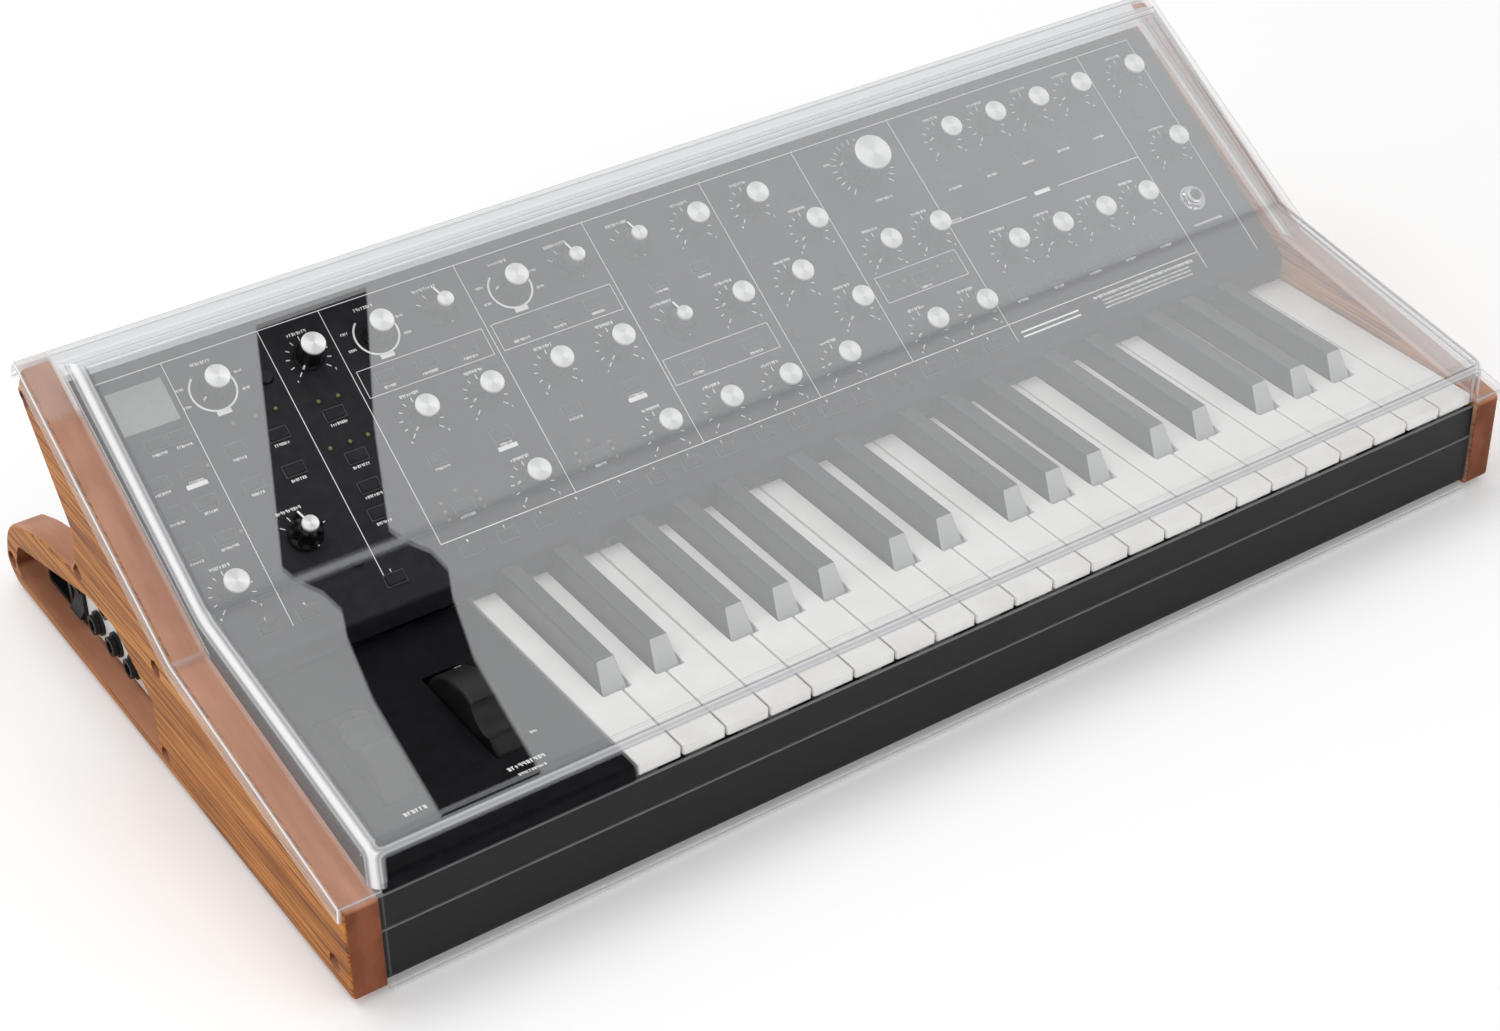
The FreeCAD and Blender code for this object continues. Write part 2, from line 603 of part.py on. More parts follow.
# ---------------------------------------------------------------- keyboard
# Black keys stand beside the gaps after C, D, F, G and A, moved towards or away from them.
SHARP_SHIFT = {0: -2.5, 1: 2.5, 3: -3.0, 4: 0.0, 5: 3.0}
WHITE_COUNT = 22
KEY_FRONT = 0.6
SHARP_CLEAR = 0.9


def sharps():
    """Centre x of every black key, left to right."""
    places = []
    for index in range(WHITE_COUNT - 1):
        shift = SHARP_SHIFT.get(index % 7)
        if shift is not None:
            places.append(D["key_left"] + (index + 1) * D["key_pitch"] + shift)
    return places


def white_key(number, notch_left, notch_right):
    """White key: a thin lipped top, notched beside its black keys, on a narrow shank."""
    low = D["key_left"] + number * D["key_pitch"] + D["key_gap"] / 2
    high = low + D["key_pitch"] - D["key_gap"]
    tail_low = max(low, notch_left)
    tail_high = min(high, notch_right)
    front, waist = deep(KEY_FRONT), deep(D["sharp_front"] - SHARP_CLEAR)
    rear = deep(D["white_long"])
    corners = [(low, front, 1.2), (high, front, 1.2)]
    if tail_high < high:
        corners += [(high, waist, 0.8), (tail_high, waist, 0.8)]
    corners += [(tail_high, rear), (tail_low, rear)]
    if tail_low > low:
        corners += [(tail_low, waist, 0.8), (low, waist, 0.8)]
    body = new_body("white_key_%02d" % (number + 1))
    top = sketch(body, "XY_Plane", outline(corners), "Params.key_top")
    feature(body, "Pad", top, "Params.lip_height", reverse=True)
    doc.recompute()

    def is_top(edge):
        box = edge.BoundBox
        return box.ZMin > D["key_top"] - 0.01 and box.YMax < deep(D["white_long"]) - 0.01

    round_edges(body, "0.8", is_top)
    shank = box_outline(tail_low + 0.8, deep(4.0), tail_high - 0.8, deep(194.0))
    feature(body, "Pad", sketch(body, "XY_Plane", shank, "Params.key_top - Params.lip_height"),
            "Params.shank_height", reverse=True)
    keep("white_key_%02d" % (number + 1), body)


def black_key(number, centre):
    """Black key: a tapered block with a sloping front on a narrow shank."""
    name = "black_key_%02d" % (number + 1)
    rise = D["sharp_rise"]
    low_z = D["key_top"] - D["lip_height"]
    # Part::Wedge tapers along its own Y, which is turned to point up
    wedge = doc.addObject("Part::Wedge", name + "_block")
    ends = {
        "Xmin": "-Params.sharp_wide / 2", "Xmax": "Params.sharp_wide / 2",
        "X2min": "-Params.sharp_top / 2", "X2max": "Params.sharp_top / 2",
        "Ymin": "0", "Ymax": "Params.sharp_rise + Params.lip_height",
        "Zmin": "-Params.white_long + Params.sharp_front", "Zmax": "0",
        "Z2min": "-Params.white_long + Params.sharp_front", "Z2max": "-9",
    }
    for prop, rule in ends.items():
        wedge.setExpression(prop, rule)
    wedge.Placement = Place(Vec(centre, deep(D["sharp_front"]), low_z), Turn(Vec(1, 0, 0), 90))
    doc.recompute()
    top_level = low_z + D["lip_height"] + rise
    crown = doc.addObject("Part::Fillet", name + "_crown")
    crown.Base = wedge
    picked = []
    for index, edge in enumerate(wedge.Shape.Edges):
        box = edge.BoundBox
        front_or_top = box.ZMax > top_level - 0.1 and box.YMin < deep(D["white_long"]) - 0.5
        if front_or_top:
            picked.append((index + 1, 1.0, 1.0))
    crown.Edges = picked
    shank = doc.addObject("Part::Box", name + "_shank")
    shank.setExpression("Length", "Params.sharp_wide - 4")
    shank.setExpression("Width", "Params.white_long - Params.sharp_front + 44")
    shank.setExpression("Height", "Params.shank_height")
    shank.Placement = Place(Vec(centre - D["sharp_wide"] / 2 + 2, deep(D["sharp_front"]) + 3.5,
                                low_z - D["shank_height"]), Turn())
    fused = doc.addObject("Part::Fuse", name)
    fused.Base = crown
    fused.Tool = shank
    fused.Label = name
    keep(name, fused)


def keyboard():
    centres = sharps()
    half = D["sharp_wide"] / 2 + SHARP_CLEAR
    for number in range(WHITE_COUNT):
        left_edge = D["key_left"] + number * D["key_pitch"]
        right_edge = left_edge + D["key_pitch"]
        before = [c for c in centres if abs(c - left_edge) < 6]
        after = [c for c in centres if abs(c - right_edge) < 6]
        white_key(number, before[0] + half if before else -1e3, after[0] - half if after else 1e3)
    for number, centre in enumerate(centres):
        black_key(number, centre)


def keybed_frame():
    """Carrier under the keys: base plate on posts, front guide and rear hinge rail."""
    left, right = D["key_left"], D["shell_half"] - D["sheet_thick"] - 0.5
    base = solid_box((left, deep(12.0), 20.0), (right, deep(200.0), 22.0))
    rails = [solid_box((left, deep(30.0), 21.0), (right, deep(36.0), 29.0)),
             solid_box((left, deep(184.0), 21.0), (right, deep(196.0), 42.6))]
    posts = [solid_box((x, deep(y), 6.5), (x + 14.0, deep(y) + 14.0, 21.0))
             for x in (-190.0, 60.0, 304.0) for y in (20.0, 180.0)]
    shape_node("keybed_frame", [base.multiFuse(rails + posts).removeSplitter()])


# ---------------------------------------------------------------- dust cover
# Outer face of the raised part, front to back, and of the flange that lies over the cheeks.
COVER_TOP = [(-5.0, 81.0, 8.0), (150.0, 106.0, 20.0), (264.0, 179.0, 10.0), (281.0, 171.0)]
FLANGE_TOP = [(-5.0, 58.2, 2.0), (150.0, 86.3, 12.0), (290.0, 171.2, 6.0), (294.2, 171.2, 2.5),
              (299.8, 162.5)]
# The side lips hang 9 mm below the flange's outer face.
LIP = FLANGE_TOP + [(294.7, 163.5), (153.2, 77.7, 21.0), (-3.4, 49.3)]


def cover_solid(name, inset, drop):
    """Raised part of the cover as a block; inset moves every wall in by that much."""
    front, kink, crest, back = COVER_TOP
    corners = [
        (front[0] + inset, 56.0 - drop), (front[0] + inset, front[1] - inset),
        (kink[0] + inset * 0.3, kink[1] - inset * 1.05, kink[2]),
        (crest[0] - inset * 0.4, crest[1] - inset * 1.2), (back[0] - inset, back[1] - inset * 0.6),
        (back[0] - inset, back[1] - 7.5 - drop), (150.0, 84.4 - drop),
    ]
    block = slab(name, "YZ_Plane", outline(at_depth(corners)),
                 "-Params.cover_half + %s" % inset, "2 * (Params.cover_half - %s)" % inset)

    def is_crown(edge):
        box = edge.BoundBox
        above = box.ZMin > 70.0
        top_front = box.YLength < 0.01 and box.ZLength < 0.01 and box.ZMin < 90
        along = box.XLength < 0.01 and box.YLength > 20 and box.ZMax < crest[1] + 1
        along = along and box.ZMin > corners[1][1] - 1
        rear = box.XLength > 600 and abs(box.ZMin - corners[3][1]) < 0.1
        upright = box.XLength < 0.01 and box.YLength < 0.01 and box.YMin < deep(0)
        if upright:
            return True
        kink_arc = box.XLength < 0.01 and edge.Curve.TypeId == "Part::GeomCircle"
        return above and (top_front and box.XLength > 600 or along or rear or kink_arc)

    round_edges(block, str(8.0 - inset * 0.8), is_crown)
    return block


def on_lip_crown(edge):
    """True for the long upper edges of the lips, where they turn down from the flange."""
    box = edge.BoundBox
    if box.XLength > 0.01 or abs(abs(box.XMin) - D["cover_flange"]) > 0.01:
        return False
    middle = edge.valueAt((edge.FirstParameter + edge.LastParameter) / 2)
    depth = middle.y + D["middle_depth"]
    for low, high in zip(FLANGE_TOP, FLANGE_TOP[1:-1]):
        if low[0] <= depth <= high[0]:
            level = low[1] + (high[1] - low[1]) * (depth - low[0]) / (high[0] - low[0])
            return middle.z > level - 2.0
    return False


def dust_cover():
    """Clear moulded cover: raised shell, flange over the cheeks, turned-down lips, skirt."""
    thick = D["cover_thick"]
    outer = cover_solid("cover_outer", 0.0, 0.0)
    inner = cover_solid("cover_inner", thick, 20.0)
    flange_pieces = bent_sheet(at_depth(FLANGE_TOP), thick)
    flange = slab("cover_flange_sheet", "YZ_Plane", flange_pieces, "-Params.cover_flange",
                  "Params.cover_flange_width")
    lips = []
    for name, level in (("left", "-Params.cover_flange"),
                        ("right", "Params.cover_flange - 2")):
        lips.append(slab("cover_lip_" + name, "YZ_Plane", outline(at_depth(LIP)), level, "2"))
    skirt = doc.addObject("Part::Box", "cover_skirt")
    skirt.setExpression("Length", "2 * Params.skirt_half")
    skirt.setExpression("Width", "Params.cover_thick")
    skirt.Height = 60.0
    skirt.Placement = Place(Vec(-D["skirt_half"], deep(-5.0), 1.5), Turn())
    walls = doc.addObject("Part::MultiFuse", "cover_walls")
    walls.Shapes = [outer, flange] + lips + [skirt]
    walls.Refine = True
    doc.recompute()
    eased = doc.addObject("Part::Fillet", "cover_eased")
    eased.Base = walls
    eased.Edges = [(index + 1, 1.5, 1.5) for index, edge in enumerate(walls.Shape.Edges)
                   if on_lip_crown(edge)]
    hollow = doc.addObject("Part::Cut", "dust_cover")
    hollow.Base = eased
    hollow.Tool = inner
    hollow.Label = "dust_cover"
    keep("dust_cover", hollow)


# ---------------------------------------------------------------- build, check and write
cheek("left_cheek", -1)
cheek("right_cheek", 1)
cheek_screws()
chassis_pan()
front_rail()
rear_panel()
rubber_feet()
control_panel()
panel_controls()
circuit_boards()
power_supply()
connector_plate()
io_sockets()
power_switch()
wheel_deck()
wheel("pitch_wheel", PITCH_X, 0.0)
wheel("mod_wheel", MOD_X, 30.0)
keyboard()
keybed_frame()
dust_cover()
doc.recompute()

for item in doc.Objects:
    if "Invalid" in item.State or "Error" in item.State:
        raise RuntimeError("failed: " + item.Label + " " + str(item.State))
os.makedirs("parts", exist_ok=True)
for name, made in NODES.items():
    if made.Shape.isNull() or not made.Shape.isValid() or not made.Shape.Solids:
        raise RuntimeError("bad shape: " + name)
    made.Shape.exportStep("parts/%s.step" % name)
print(len(NODES), "nodes")
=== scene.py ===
"""Look of the desktop synthesizer: camera, light, materials and the detailed pieces.

Every length below is in metres and in the CAD's own frame.  The control panel has its own
coordinates: x to the right, v up its slope and w out of its face, from the foot of its flat.
"""
import math
import random

import bpy
from mathutils import Euler, Matrix, Vector


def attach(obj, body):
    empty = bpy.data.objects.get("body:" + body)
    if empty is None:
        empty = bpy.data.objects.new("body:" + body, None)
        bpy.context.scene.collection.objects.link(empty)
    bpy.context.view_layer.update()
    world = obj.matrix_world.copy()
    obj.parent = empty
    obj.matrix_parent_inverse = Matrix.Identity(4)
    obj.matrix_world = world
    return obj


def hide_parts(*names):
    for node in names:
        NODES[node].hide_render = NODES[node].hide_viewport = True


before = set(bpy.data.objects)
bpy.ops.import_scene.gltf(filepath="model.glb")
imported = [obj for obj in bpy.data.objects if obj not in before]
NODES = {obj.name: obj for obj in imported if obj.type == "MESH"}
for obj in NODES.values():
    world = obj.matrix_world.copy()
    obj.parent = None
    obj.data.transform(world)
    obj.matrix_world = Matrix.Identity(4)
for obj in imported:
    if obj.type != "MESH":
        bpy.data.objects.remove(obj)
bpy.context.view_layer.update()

MM = 0.001
FRONT = -0.18304                    # frame y of the chassis front; depths are measured from it
PANEL_FOOT = (0.153, 0.07705)       # depth and height where the flat of the panel starts
PANEL_ANGLE = math.radians(34.0)
PANEL = (Matrix.Translation((0.0, FRONT + PANEL_FOOT[0], PANEL_FOOT[1]))
         @ Matrix.Rotation(PANEL_ANGLE, 4, "X"))


# ------------------------------------------------------------------ camera, light and floor
def make_camera():
    """Camera at the viewing angle: from the front left, above the panel."""
    data = bpy.data.cameras.new("camera")
    data.sensor_width = 36.0
    data.lens = 68.5
    data.shift_x = -0.0426
    data.shift_y = -0.0366
    camera = bpy.data.objects.new("camera", data)
    camera.location = (-0.682, FRONT - 0.8257, 0.8711)
    camera.rotation_euler = Euler([math.radians(turn) for turn in (55.764, 0.099, -35.292)])
    bpy.context.scene.collection.objects.link(camera)
    bpy.context.scene.camera = camera


def area_light(name, place, aim, size, power):
    """Rectangular white light at a place, turned towards aim."""
    data = bpy.data.lights.new(name, "AREA")
    data.shape = "RECTANGLE"
    data.size, data.size_y = size
    data.energy = power
    lamp = bpy.data.objects.new(name, data)
    lamp.location = place
    lamp.rotation_euler = (Vector(aim) - Vector(place)).to_track_quat("-Z", "Y").to_euler()
    bpy.context.scene.collection.objects.link(lamp)


def make_studio():
    """Even white surroundings, three soft lights and a pale floor."""
    world = bpy.data.worlds.new("studio")
    world.use_nodes = True
    sky = world.node_tree.nodes["Background"]
    sky.inputs["Color"].default_value = (1.0, 1.0, 1.0, 1.0)
    sky.inputs["Strength"].default_value = 0.62
    bpy.context.scene.world = world
    area_light("key_light", (-0.6, 0.9, 2.2), (0.0, 0.0, 0.0), (2.4, 1.2), 20.0)
    area_light("front_light", (0.9, -2.2, 1.2), (0.0, 0.0, 0.05), (2.0, 1.0), 9.0)
    area_light("side_light", (-2.4, -0.3, 0.9), (0.0, 0.0, 0.05), (1.2, 0.9), 7.0)
    reach = 6.0
    mesh = bpy.data.meshes.new("floor")
    mesh.from_pydata([(-reach, -reach, 0), (reach, -reach, 0), (reach, reach, 0),
                      (-reach, reach, 0)], [], [(0, 1, 2, 3)])
    floor = bpy.data.objects.new("floor", mesh)
    bpy.context.scene.collection.objects.link(floor)
    paper, shader, _ = new_material("paper", (0.96, 0.96, 0.96), 0.9)
    shader.inputs["Emission Color"].default_value = (1.0, 1.0, 1.0, 1.0)
    shader.inputs["Emission Strength"].default_value = 0.12
    mesh.materials.append(paper)
    bpy.context.scene.view_settings.view_transform = "Standard"


# ------------------------------------------------------------------ materials
def new_material(name, colour, roughness, metallic=0.0):
    """Principled material; returns it with its shader and a maker of further nodes."""
    made = bpy.data.materials.new(name)
    made.use_nodes = True
    tree = made.node_tree
    shader = tree.nodes["Principled BSDF"]
    shader.inputs["Base Color"].default_value = (*colour, 1.0)
    shader.inputs["Roughness"].default_value = roughness
    shader.inputs["Metallic"].default_value = metallic

    def node(kind, links=None, **settings):
        """New node; links maps an input to an output or to a plain value."""
        item = tree.nodes.new("ShaderNode" + kind)
        for key, value in settings.items():
            setattr(item, key, value)
        for key, value in (links or {}).items():
            if isinstance(value, bpy.types.NodeSocket):
                tree.links.new(value, item.inputs[key])
            else:
                item.inputs[key].default_value = value
        return item

    node.link = tree.links.new
    return made, shader, node


def ramp(node, factor, stops):
    """Colour ramp over factor; stops are (place, colour)."""
    made = node("ValToRGB", {"Fac": factor})
    band = made.color_ramp
    while len(band.elements) < len(stops):
        band.elements.new(0.5)
    for element, (place, colour) in zip(band.elements, stops):
        element.position = place
        element.color = (*colour, 1.0)
    return made.outputs["Color"]


def noise(node, scale, detail=3.0, roughness=0.5, distortion=0.0, stretch=(1.0, 1.0, 1.0)):
    """Noise over the object's own coordinates, in features per metre."""
    coordinates = node("TexCoord").outputs["Object"]
    mapped = node("Mapping", {"Vector": coordinates, "Scale": stretch}).outputs["Vector"]
    made = node("TexNoise", {"Vector": mapped, "Scale": scale, "Detail": detail,
                             "Roughness": roughness, "Distortion": distortion})
    return made.outputs["Fac"]


def bump(node, shader, height, depth, strength=1.0):
    """Relief of the given depth, in metres, from a height map."""
    made = node("Bump", {"Height": height, "Distance": depth, "Strength": strength})
    node.link(made.outputs["Normal"], shader.inputs["Normal"])


def speckled(name, dark, light, roughness, spread, grain, depth, metallic=0.0, shine=0.5):
    """Fine-grained paint or moulded plastic: slight colour and gloss changes over a grain."""
    made, shader, node = new_material(name, dark, roughness, metallic)
    shader.inputs["Specular IOR Level"].default_value = shine
    patches = noise(node, grain * 0.05, 4.0)
    node.link(ramp(node, patches, [(0.35, dark), (0.65, light)]), shader.inputs["Base Color"])
    gloss = node("MapRange", {"Value": patches, "To Min": roughness - spread,
                              "To Max": roughness + spread})
    node.link(gloss.outputs["Result"], shader.inputs["Roughness"])
    bump(node, shader, noise(node, grain, 2.0), depth)
    return made


def oak():
    """Oiled oak: fine streaks along y on the broad faces, dark red-brown end grain on the front and
    back, and a paler, greyer painted highlight on the upward faces for light from above.
    """
    made, shader, node = new_material("oak", (0.45, 0.21, 0.07), 0.42)
    shader.inputs["Specular IOR Level"].default_value = 0.08
    figure = noise(node, 9.0, 3.0, 0.55, 1.2, (1.4, 0.45, 4.5))
    streaks = noise(node, 75.0, 4.0, 0.6, 0.3, (3.0, 0.10, 4.4))
    pores = noise(node, 210.0, 2.0, 0.6, 0.0, (4.0, 0.07, 5.0))
    mixed = node("Mix", {"Factor": 0.6, "A": figure, "B": streaks}, data_type="FLOAT")
    base = ramp(node, mixed.outputs["Result"],
                [(0.34, (0.24, 0.070, 0.010)), (0.46, (0.42, 0.145, 0.022)),
                 (0.56, (0.53, 0.205, 0.036)), (0.68, (0.62, 0.275, 0.060))])
    dark = ramp(node, pores, [(0.42, (0.36, 0.27, 0.20)), (0.52, (1.0, 1.0, 1.0))])
    tinted = node("Mix", {"Factor": 0.9, "A": base, "B": dark}, data_type="RGBA",
                  blend_type="MULTIPLY")
    facing = node("SeparateXYZ", {"Vector": node("NewGeometry").outputs["Normal"]})
    cloud = noise(node, 40.0, 3.0, 0.5, 0.2, (2.0, 0.3, 1.0))
    end = ramp(node, cloud, [(0.35, (0.16, 0.048, 0.020)), (0.65, (0.25, 0.082, 0.040))])
    # Painted highlight: the upward faces get a paler, greyer oak colour, as if lit from above.
    painted_lit_top = ramp(node, cloud, [(0.35, (0.41, 0.180, 0.100)), (0.65, (0.54, 0.260, 0.160))])
    upward = node("MapRange", {"Value": facing.outputs["Z"], "From Min": 0.1, "From Max": 0.5})
    edge = node("Mix", {"Factor": upward.outputs["Result"], "A": end, "B": painted_lit_top},
                data_type="RGBA")
    side = node("Math", {0: facing.outputs["X"]}, operation="ABSOLUTE")
    broad = node("MapRange", {"Value": side.outputs["Value"], "From Min": 0.55, "From Max": 0.85})
    skin = node("Mix", {"Factor": broad.outputs["Result"], "A": edge.outputs["Result"],
                        "B": tinted.outputs["Result"]}, data_type="RGBA")
    node.link(skin.outputs["Result"], shader.inputs["Base Color"])
    bump(node, shader, pores, 0.0003, 0.4)
    return made


def spun_aluminium():
    """Turned face of a knob cap: the UV map holds the angle, in turns, and the radius; its colour
    is a painted highlight, bright and dark wedges by angle for light reflected by the spun metal.
    """
    made, shader, node = new_material("spun_aluminium", (0.9, 0.9, 0.9), 0.40, 0.45)
    spot = node("SeparateXYZ", {"Vector": node("UVMap", uv_map="turned").outputs["UV"]})
    turn = node("Math", {0: spot.outputs["X"], 1: 2.0 * math.tau}, operation="MULTIPLY")
    wave = node("Math", {0: turn.outputs["Value"]}, operation="COSINE")
    # Painted highlight: two bright and two dark wedges round the centre.
    painted_glint = node("MapRange", {"Value": wave.outputs["Value"], "From Min": -1.0})
    node.link(ramp(node, painted_glint.outputs["Result"],
                   [(0.1, (0.74, 0.74, 0.74)), (0.6, (0.90, 0.90, 0.90)), (1.0, (1.0, 1.0, 1.0))]),
              shader.inputs["Base Color"])
    rings = node("Math", {0: spot.outputs["Y"], 1: 90.0}, operation="MULTIPLY")
    groove = node("Math", {0: rings.outputs["Value"]}, operation="SINE")
    bump(node, shader, groove.outputs["Value"], 0.00001)
    return made


# Clear cover: how much of what is behind its surface the painted reflection hides, place by place;
# the pale veil and the bright edges stand in for the surroundings reflected in the sheet.
REFLECTION_VEIL = 0.205                        # over the panel, at the middle
REFLECTION_VEIL_SPREAD = 0.015                 # up and down from patch to patch
REFLECTION_VEIL_LEFT, REFLECTION_VEIL_RIGHT = 0.84, 1.28  # share of it at the two ends
KEY_SHARE = 0.86                    # share over the keys and deck
FLANGE_SHARE = 0.20                 # share on the side flanges
BACK_SHARE = 3.4                    # share behind the crest
# Painted highlights and painted reflection where the sheet turns: its side lips, side walls,
# edge-on parts, bottom edges and bends.
LIP_HIGHLIGHT = 0.16
WALL_REFLECTION = 0.14
GLANCE_REFLECTION = 0.5                   # where the sheet is seen edge-on
HEM_HIGHLIGHT = 0.5                      # along the skirts' bottom edges
SOFT_BEND_HIGHLIGHT, SHARP_BEND_HIGHLIGHT = 0.55, 0.85
RAISED_SIDE = 0.3265                # half width of the raised part
LIP_SIDE = 0.341                    # half a millimetre out from the side lips' inner face
COVER_KINK, COVER_CREST = 0.150, 0.264  # depths where the top's slope changes
HEM_HEIGHT = 0.0028                 # top of the painted highlight along the bottom edges
COVER_END = 0.33
EDGE_SOFT = 0.0006                  # half width of the clear band's soft edge
# Rise over run of the cover's flats.
COVER_SLOPES = [math.atan(slope) for slope in (25.0 / 155.0, 73.0 / 114.0, 28.1 / 155.0,
                                               84.9 / 140.0, 0.0)]
# Clear band on the cover, left free of the painted reflection: (depth, x) along each edge, front to
# back.
BAND_LEFT = [(0.0, -0.290), (0.07, -0.283), (0.108, -0.275), (0.124, -0.269), (0.138, -0.271),
             (0.157, -0.281), (0.200, -0.262), (0.2555, -0.238), (0.256, -0.150)]
BAND_RIGHT = [(0.0, -0.242), (0.07, -0.233), (0.108, -0.222), (0.124, -0.215), (0.138, -0.216),
              (0.157, -0.227), (0.200, -0.209), (0.2555, -0.180), (0.256, -0.180)]
BAND_REACH = 0.4                    # x from -0.4 to 0 is what the band's curves can hold


def within(node, left, right):
    """1 between two edges given as (depth, x) from front to back, 0 outside them."""
    place = node("SeparateXYZ", {"Vector": node("TexCoord").outputs["Object"]})
    reach = max(left[-1][0], right[-1][0])
    depth = node("MapRange", {"Value": place.outputs["Y"], "From Min": FRONT,
                              "From Max": FRONT + reach})
    sides = []
    for edge, soft in ((left, EDGE_SOFT), (right, -EDGE_SOFT)):
        line = node("FloatCurve", {"Value": depth.outputs["Result"]})
        curve = line.mapping.curves[0]
        while len(curve.points) < len(edge):
            curve.points.new(0.5, 0.5)
        for point, (along, across) in zip(curve.points, edge):
            point.location = (along / reach, (across + BAND_REACH) / BAND_REACH)
            point.handle_type = "VECTOR"
        line.mapping.update()
        where = node("MapRange", {"Value": line.outputs["Value"], "To Min": -BAND_REACH,
                                  "To Max": 0.0})
        gap = node("Math", {0: place.outputs["X"], 1: where.outputs["Result"]},
                   operation="SUBTRACT")
        side = node("MapRange", {"Value": gap.outputs["Value"], "From Min": -soft,
                                 "From Max": soft})
        sides.append(side.outputs["Result"])
    return node("Math", {0: sides[0], 1: sides[1]}, operation="MULTIPLY").outputs["Value"]


def product(node, *factors):
    """All the factors multiplied together."""
    total = factors[0]
    for factor in factors[1:]:
        total = node("Math", {0: total, 1: factor}, operation="MULTIPLY").outputs["Value"]
    return total


def fade(node, value, low, high, start=0.0, end=1.0):
    """Value carried from low..high to start..end and held there outside."""
    return node("MapRange", {"Value": value, "From Min": low, "From Max": high,
                             "To Min": start, "To Max": end}).outputs["Result"]


def clear_cover():
    """Clear moulded sheet with a painted reflection, a pale veil on top except for one clear band,
    and painted highlights at its bends.

    The painted reflection lies on the outer and on the inner face, so it counts twice in a look
    through.
    """
    made, shader, node = new_material("clear_cover", (0.88, 0.89, 0.90), 0.12)
    shader.inputs["IOR"].default_value = 1.49
    place = node("SeparateXYZ", {"Vector": node("TexCoord").outputs["Object"]}).outputs
    out = node("Math", {0: place["X"]}, operation="ABSOLUTE").outputs["Value"]
    facing = node("SeparateXYZ", {"Vector": node("NewGeometry").outputs["Normal"]})
    top = fade(node, facing.outputs["Z"], 0.35, 0.6)
    outside_band = node("Math", {0: 1.0, 1: within(node, BAND_LEFT, BAND_RIGHT)},
                        operation="SUBTRACT").outputs["Value"]
    raised = fade(node, out, RAISED_SIDE - 0.0003, RAISED_SIDE + 0.0003, 1.0, FLANGE_SHARE)
    keys = fade(node, place["Y"], FRONT + COVER_KINK - 0.005, FRONT + COVER_KINK + 0.005,
                KEY_SHARE, 1.0)
    behind = fade(node, place["Y"], FRONT + COVER_CREST - 0.002, FRONT + COVER_CREST + 0.002,
                  1.0, BACK_SHARE)
    patches = node("MapRange", {"Value": noise(node, 14.0, 4.0), "To Min": REFLECTION_VEIL - REFLECTION_VEIL_SPREAD,
                                "To Max": REFLECTION_VEIL + REFLECTION_VEIL_SPREAD}).outputs["Result"]
    rim = node("LayerWeight", {"Blend": 0.22}).outputs["Facing"]
    sideways = node("Math", {0: facing.outputs["X"]}, operation="ABSOLUTE").outputs["Value"]
    bend = cover_bends(node)
    across = fade(node, place["X"], -COVER_END, COVER_END, REFLECTION_VEIL_LEFT, REFLECTION_VEIL_RIGHT)
    # Painted reflection: a pale veil on the top faces, left out in the clear band.
    seen = product(node, top, outside_band, raised, keys, behind, across, patches)
    # Painted highlights where the sheet is seen edge-on and along its lips, walls, bottom edges and
    # bends.
    for part in (fade(node, rim, 0.6, 1.0, 0.0, GLANCE_REFLECTION),
                 fade(node, out, LIP_SIDE - 0.0005, LIP_SIDE + 0.0005, 0.0, LIP_HIGHLIGHT),
                 fade(node, sideways, 0.85, 0.95, 0.0, WALL_REFLECTION),
                 fade(node, place["Z"], HEM_HEIGHT + 0.0006, HEM_HEIGHT - 0.0006, 0.0, HEM_HIGHLIGHT),
                 fade(node, bend, 0.998, 0.975, 0.0, SOFT_BEND_HIGHLIGHT),
                 fade(node, bend, 0.88, 0.80, 0.0, SHARP_BEND_HIGHLIGHT)):
        seen = node("Math", {0: seen, 1: part}, operation="MAXIMUM").outputs["Value"]
    node.link(seen, shader.inputs["Alpha"])
    # Painted light in the bends: white highlights where they are sharpest, grey and dark painted
    # reflection bands on the way back to the flats.
    node.link(ramp(node, bend, [(0.74, (1.0, 1.0, 1.0)), (0.84, (0.92, 0.92, 0.93)),
                                (0.89, (0.50, 0.51, 0.53)), (0.94, (0.80, 0.80, 0.82)),
                                (0.975, (0.20, 0.21, 0.23)), (0.9985, (0.88, 0.89, 0.90))]),
              shader.inputs["Base Color"])
    return made


def cover_bends(node):
    """How close a spot's facing is to one of the cover's flats: 1 on a flat, less in a bend."""
    normal = node("NewGeometry").outputs["Normal"]
    parts = node("SeparateXYZ", {"Vector": normal})
    flattest = 0.0
    for axis in "XY":
        along = node("Math", {0: parts.outputs[axis]}, operation="ABSOLUTE").outputs["Value"]
        flattest = node("Math", {0: flattest, 1: along}, operation="MAXIMUM").outputs["Value"]
    for rise in COVER_SLOPES:
        slope = Vector((0.0, -math.sin(rise), math.cos(rise)))
        along = node("VectorMath", {0: normal, 1: slope}, operation="DOT_PRODUCT").outputs["Value"]
        size = node("Math", {0: along}, operation="ABSOLUTE").outputs["Value"]
        flattest = node("Math", {0: flattest, 1: size}, operation="MAXIMUM").outputs["Value"]
    return flattest


def lens(name, colour, glow=0.0):
    """Small moulded light: a tinted lens with a faint mottled body."""
    made, shader, node = new_material(name, colour, 0.25)
    shader.inputs["Coat Weight"].default_value = 0.4
    shader.inputs["Emission Color"].default_value = (*colour, 1.0)
    shader.inputs["Emission Strength"].default_value = glow
    bump(node, shader, noise(node, 900.0, 2.0), 0.0001)
    return made


